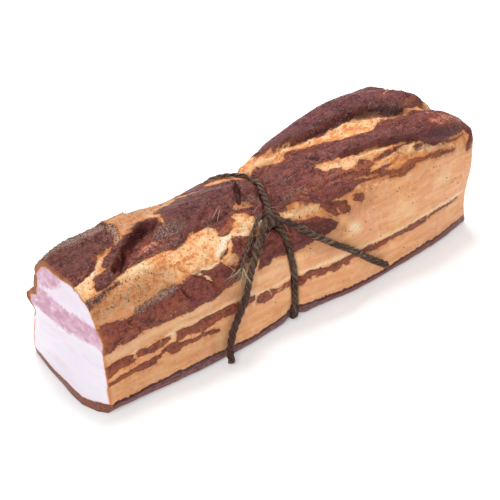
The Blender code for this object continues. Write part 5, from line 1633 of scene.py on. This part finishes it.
# ---- The scene ---------------------------------------------------------------------------------
TAILS = {  # (route, diameter, pitch, fibres, seed)
    "tail_front": (FRONT_TAIL, TWINE, 13.0, 90, 210),
    "tail_frayed": (FRAYED_END, LOOSE_PLY, 9.0, 60, 220),
    "tail_side": (SIDE_TAIL, TWINE, 13.0, 90, 230),
}
CUT_BRUSH = (45, (0.8, 2.2), 0.35, (0.08, 0.16))  # (fibres, lengths, spread, thicknesses)
FRAYED_BRUSH = (60, (4.0, 11.0), 0.85, (0.16, 0.30))
TAIL_ENDS = (0.6, 0.9)
LOOP_RADIUS = TWINE / 2 * 0.88  # drawn tight
LEAST_GRAIN = 0.35
GRAINS = {  # (density, most, sizes above the least, least flatness, seed, material, dark, light, roughness)
    "pepper_grains": (
        pepper_density, 2600, 0.75, 0.45, 301, "pepper", (0.015, 0.010, 0.008), (0.16, 0.105, 0.065), 0.6),
    "spice_flakes": (
        flake_density, 1800, 0.7, 0.25, 311, "spice", (0.22, 0.085, 0.03), (0.50, 0.34, 0.17), 0.6),
    "salt_grains": (
        salt_density, 260, 0.5, 0.6, 321, "salt", (0.70, 0.60, 0.48), (0.90, 0.86, 0.80), 0.35),
}


def finished(made, material, nodes=()):
    """Gives a piece its material and its body, and hides the CAD parts that it replaces."""
    made.data.materials.append(material)
    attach(made, "root")
    if nodes:
        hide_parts(*nodes)


def add_tail(name):
    """One loose end as a cord, with its loose fibres and the brush at its cut end. The front one is
    stained red towards its tip."""
    route, diameter, pitch, fibre_count, seed = TAILS[name]
    radius = diameter / 2
    line = route_line(route, diameter, TAIL_CLEAR, meat)
    along = np.linspace(0, 1, len(line))
    stain = 0.25 + 0.75 * smoothstep(0.45, 0.85, along) if name == "tail_front" else 0.1
    tube = twine_tube(f"{name}_twine", line, radius, pitch, seed, stain, TAIL_ENDS)
    finished(tube, twine_finish, (name,))
    frayed = name == "tail_frayed"
    count, lengths, spread, thickness = FRAYED_BRUSH if frayed else CUT_BRUSH
    tip_name = "frayed_brush" if frayed else f"{name}_brush"
    hairs = [
        loose_fibres(f"{name}_fibres", line, radius, fibre_count, seed + 5),
        brush(tip_name, line, radius, count, seed + 7, lengths, spread, thickness),
    ]
    for hair in hairs:
        finished(hair, hair_finish)


def add_loop():
    """The tight loop, which is sunk in the meat and drawn a little thinner than the tails."""
    line = route_line(LOOP_ROUTE, TWINE, -LOOP_SINK, meat)
    tube = twine_tube("twine_loop_twine", line, LOOP_RADIUS, 12.0, 240, 0.05)
    finished(tube, twine_finish, ("twine_loop",))
    finished(loose_fibres("twine_loop_fibres", line, LOOP_RADIUS, 240, 245, 3.5), hair_finish)


def add_knot():
    """The knot's core, and two turns of twine that cross over it."""
    place = meat.at(*KNOT, KNOT_LIFT)
    out = unit(place - meat.at(*KNOT, 0))
    lengthwise = unit(np.array((1.0, 0, 0)) - out * out[0])
    down = np.cross(out, lengthwise)
    finished(knot_core(place, lengthwise), twine_finish, ("twine_knot",))
    for side in (-1, 1):
        axis = unit(lengthwise * 0.94 + down * 0.34 * side)
        turn = knot_turn(f"knot_turn_{side + 2}", place + axis * side * TURN_APART, axis, 250 + side)
        finished(turn, twine_finish)


add_camera()
meat = Skin()
twine_finish = twine_material()
hair_finish = grain_material("loose_fibre", (0.14, 0.085, 0.045), (0.74, 0.57, 0.36), 0.7)
for tail in TAILS:
    add_tail(tail)
add_loop()
add_knot()

belly, body, outward = belly_piece()
strata = [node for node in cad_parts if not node.startswith(("twine", "tail"))]
finished(belly, meat_material(), strata)
finished(stray_straws(body, outward), hair_finish)

rng = np.random.default_rng(300)
for name, (density, most, spread, flat, seed, finish, dark, light, roughness) in GRAINS.items():
    places = scattered(density, most, seed)
    widths = LEAST_GRAIN + spread * rng.uniform(0, 1, len(places[0])) ** 2
    finished(
        grains(name, places, widths, flat, body, outward, seed + 1),
        grain_material(finish, dark, light, roughness))

add_floor()
add_light()
bpy.context.view_layer.update()
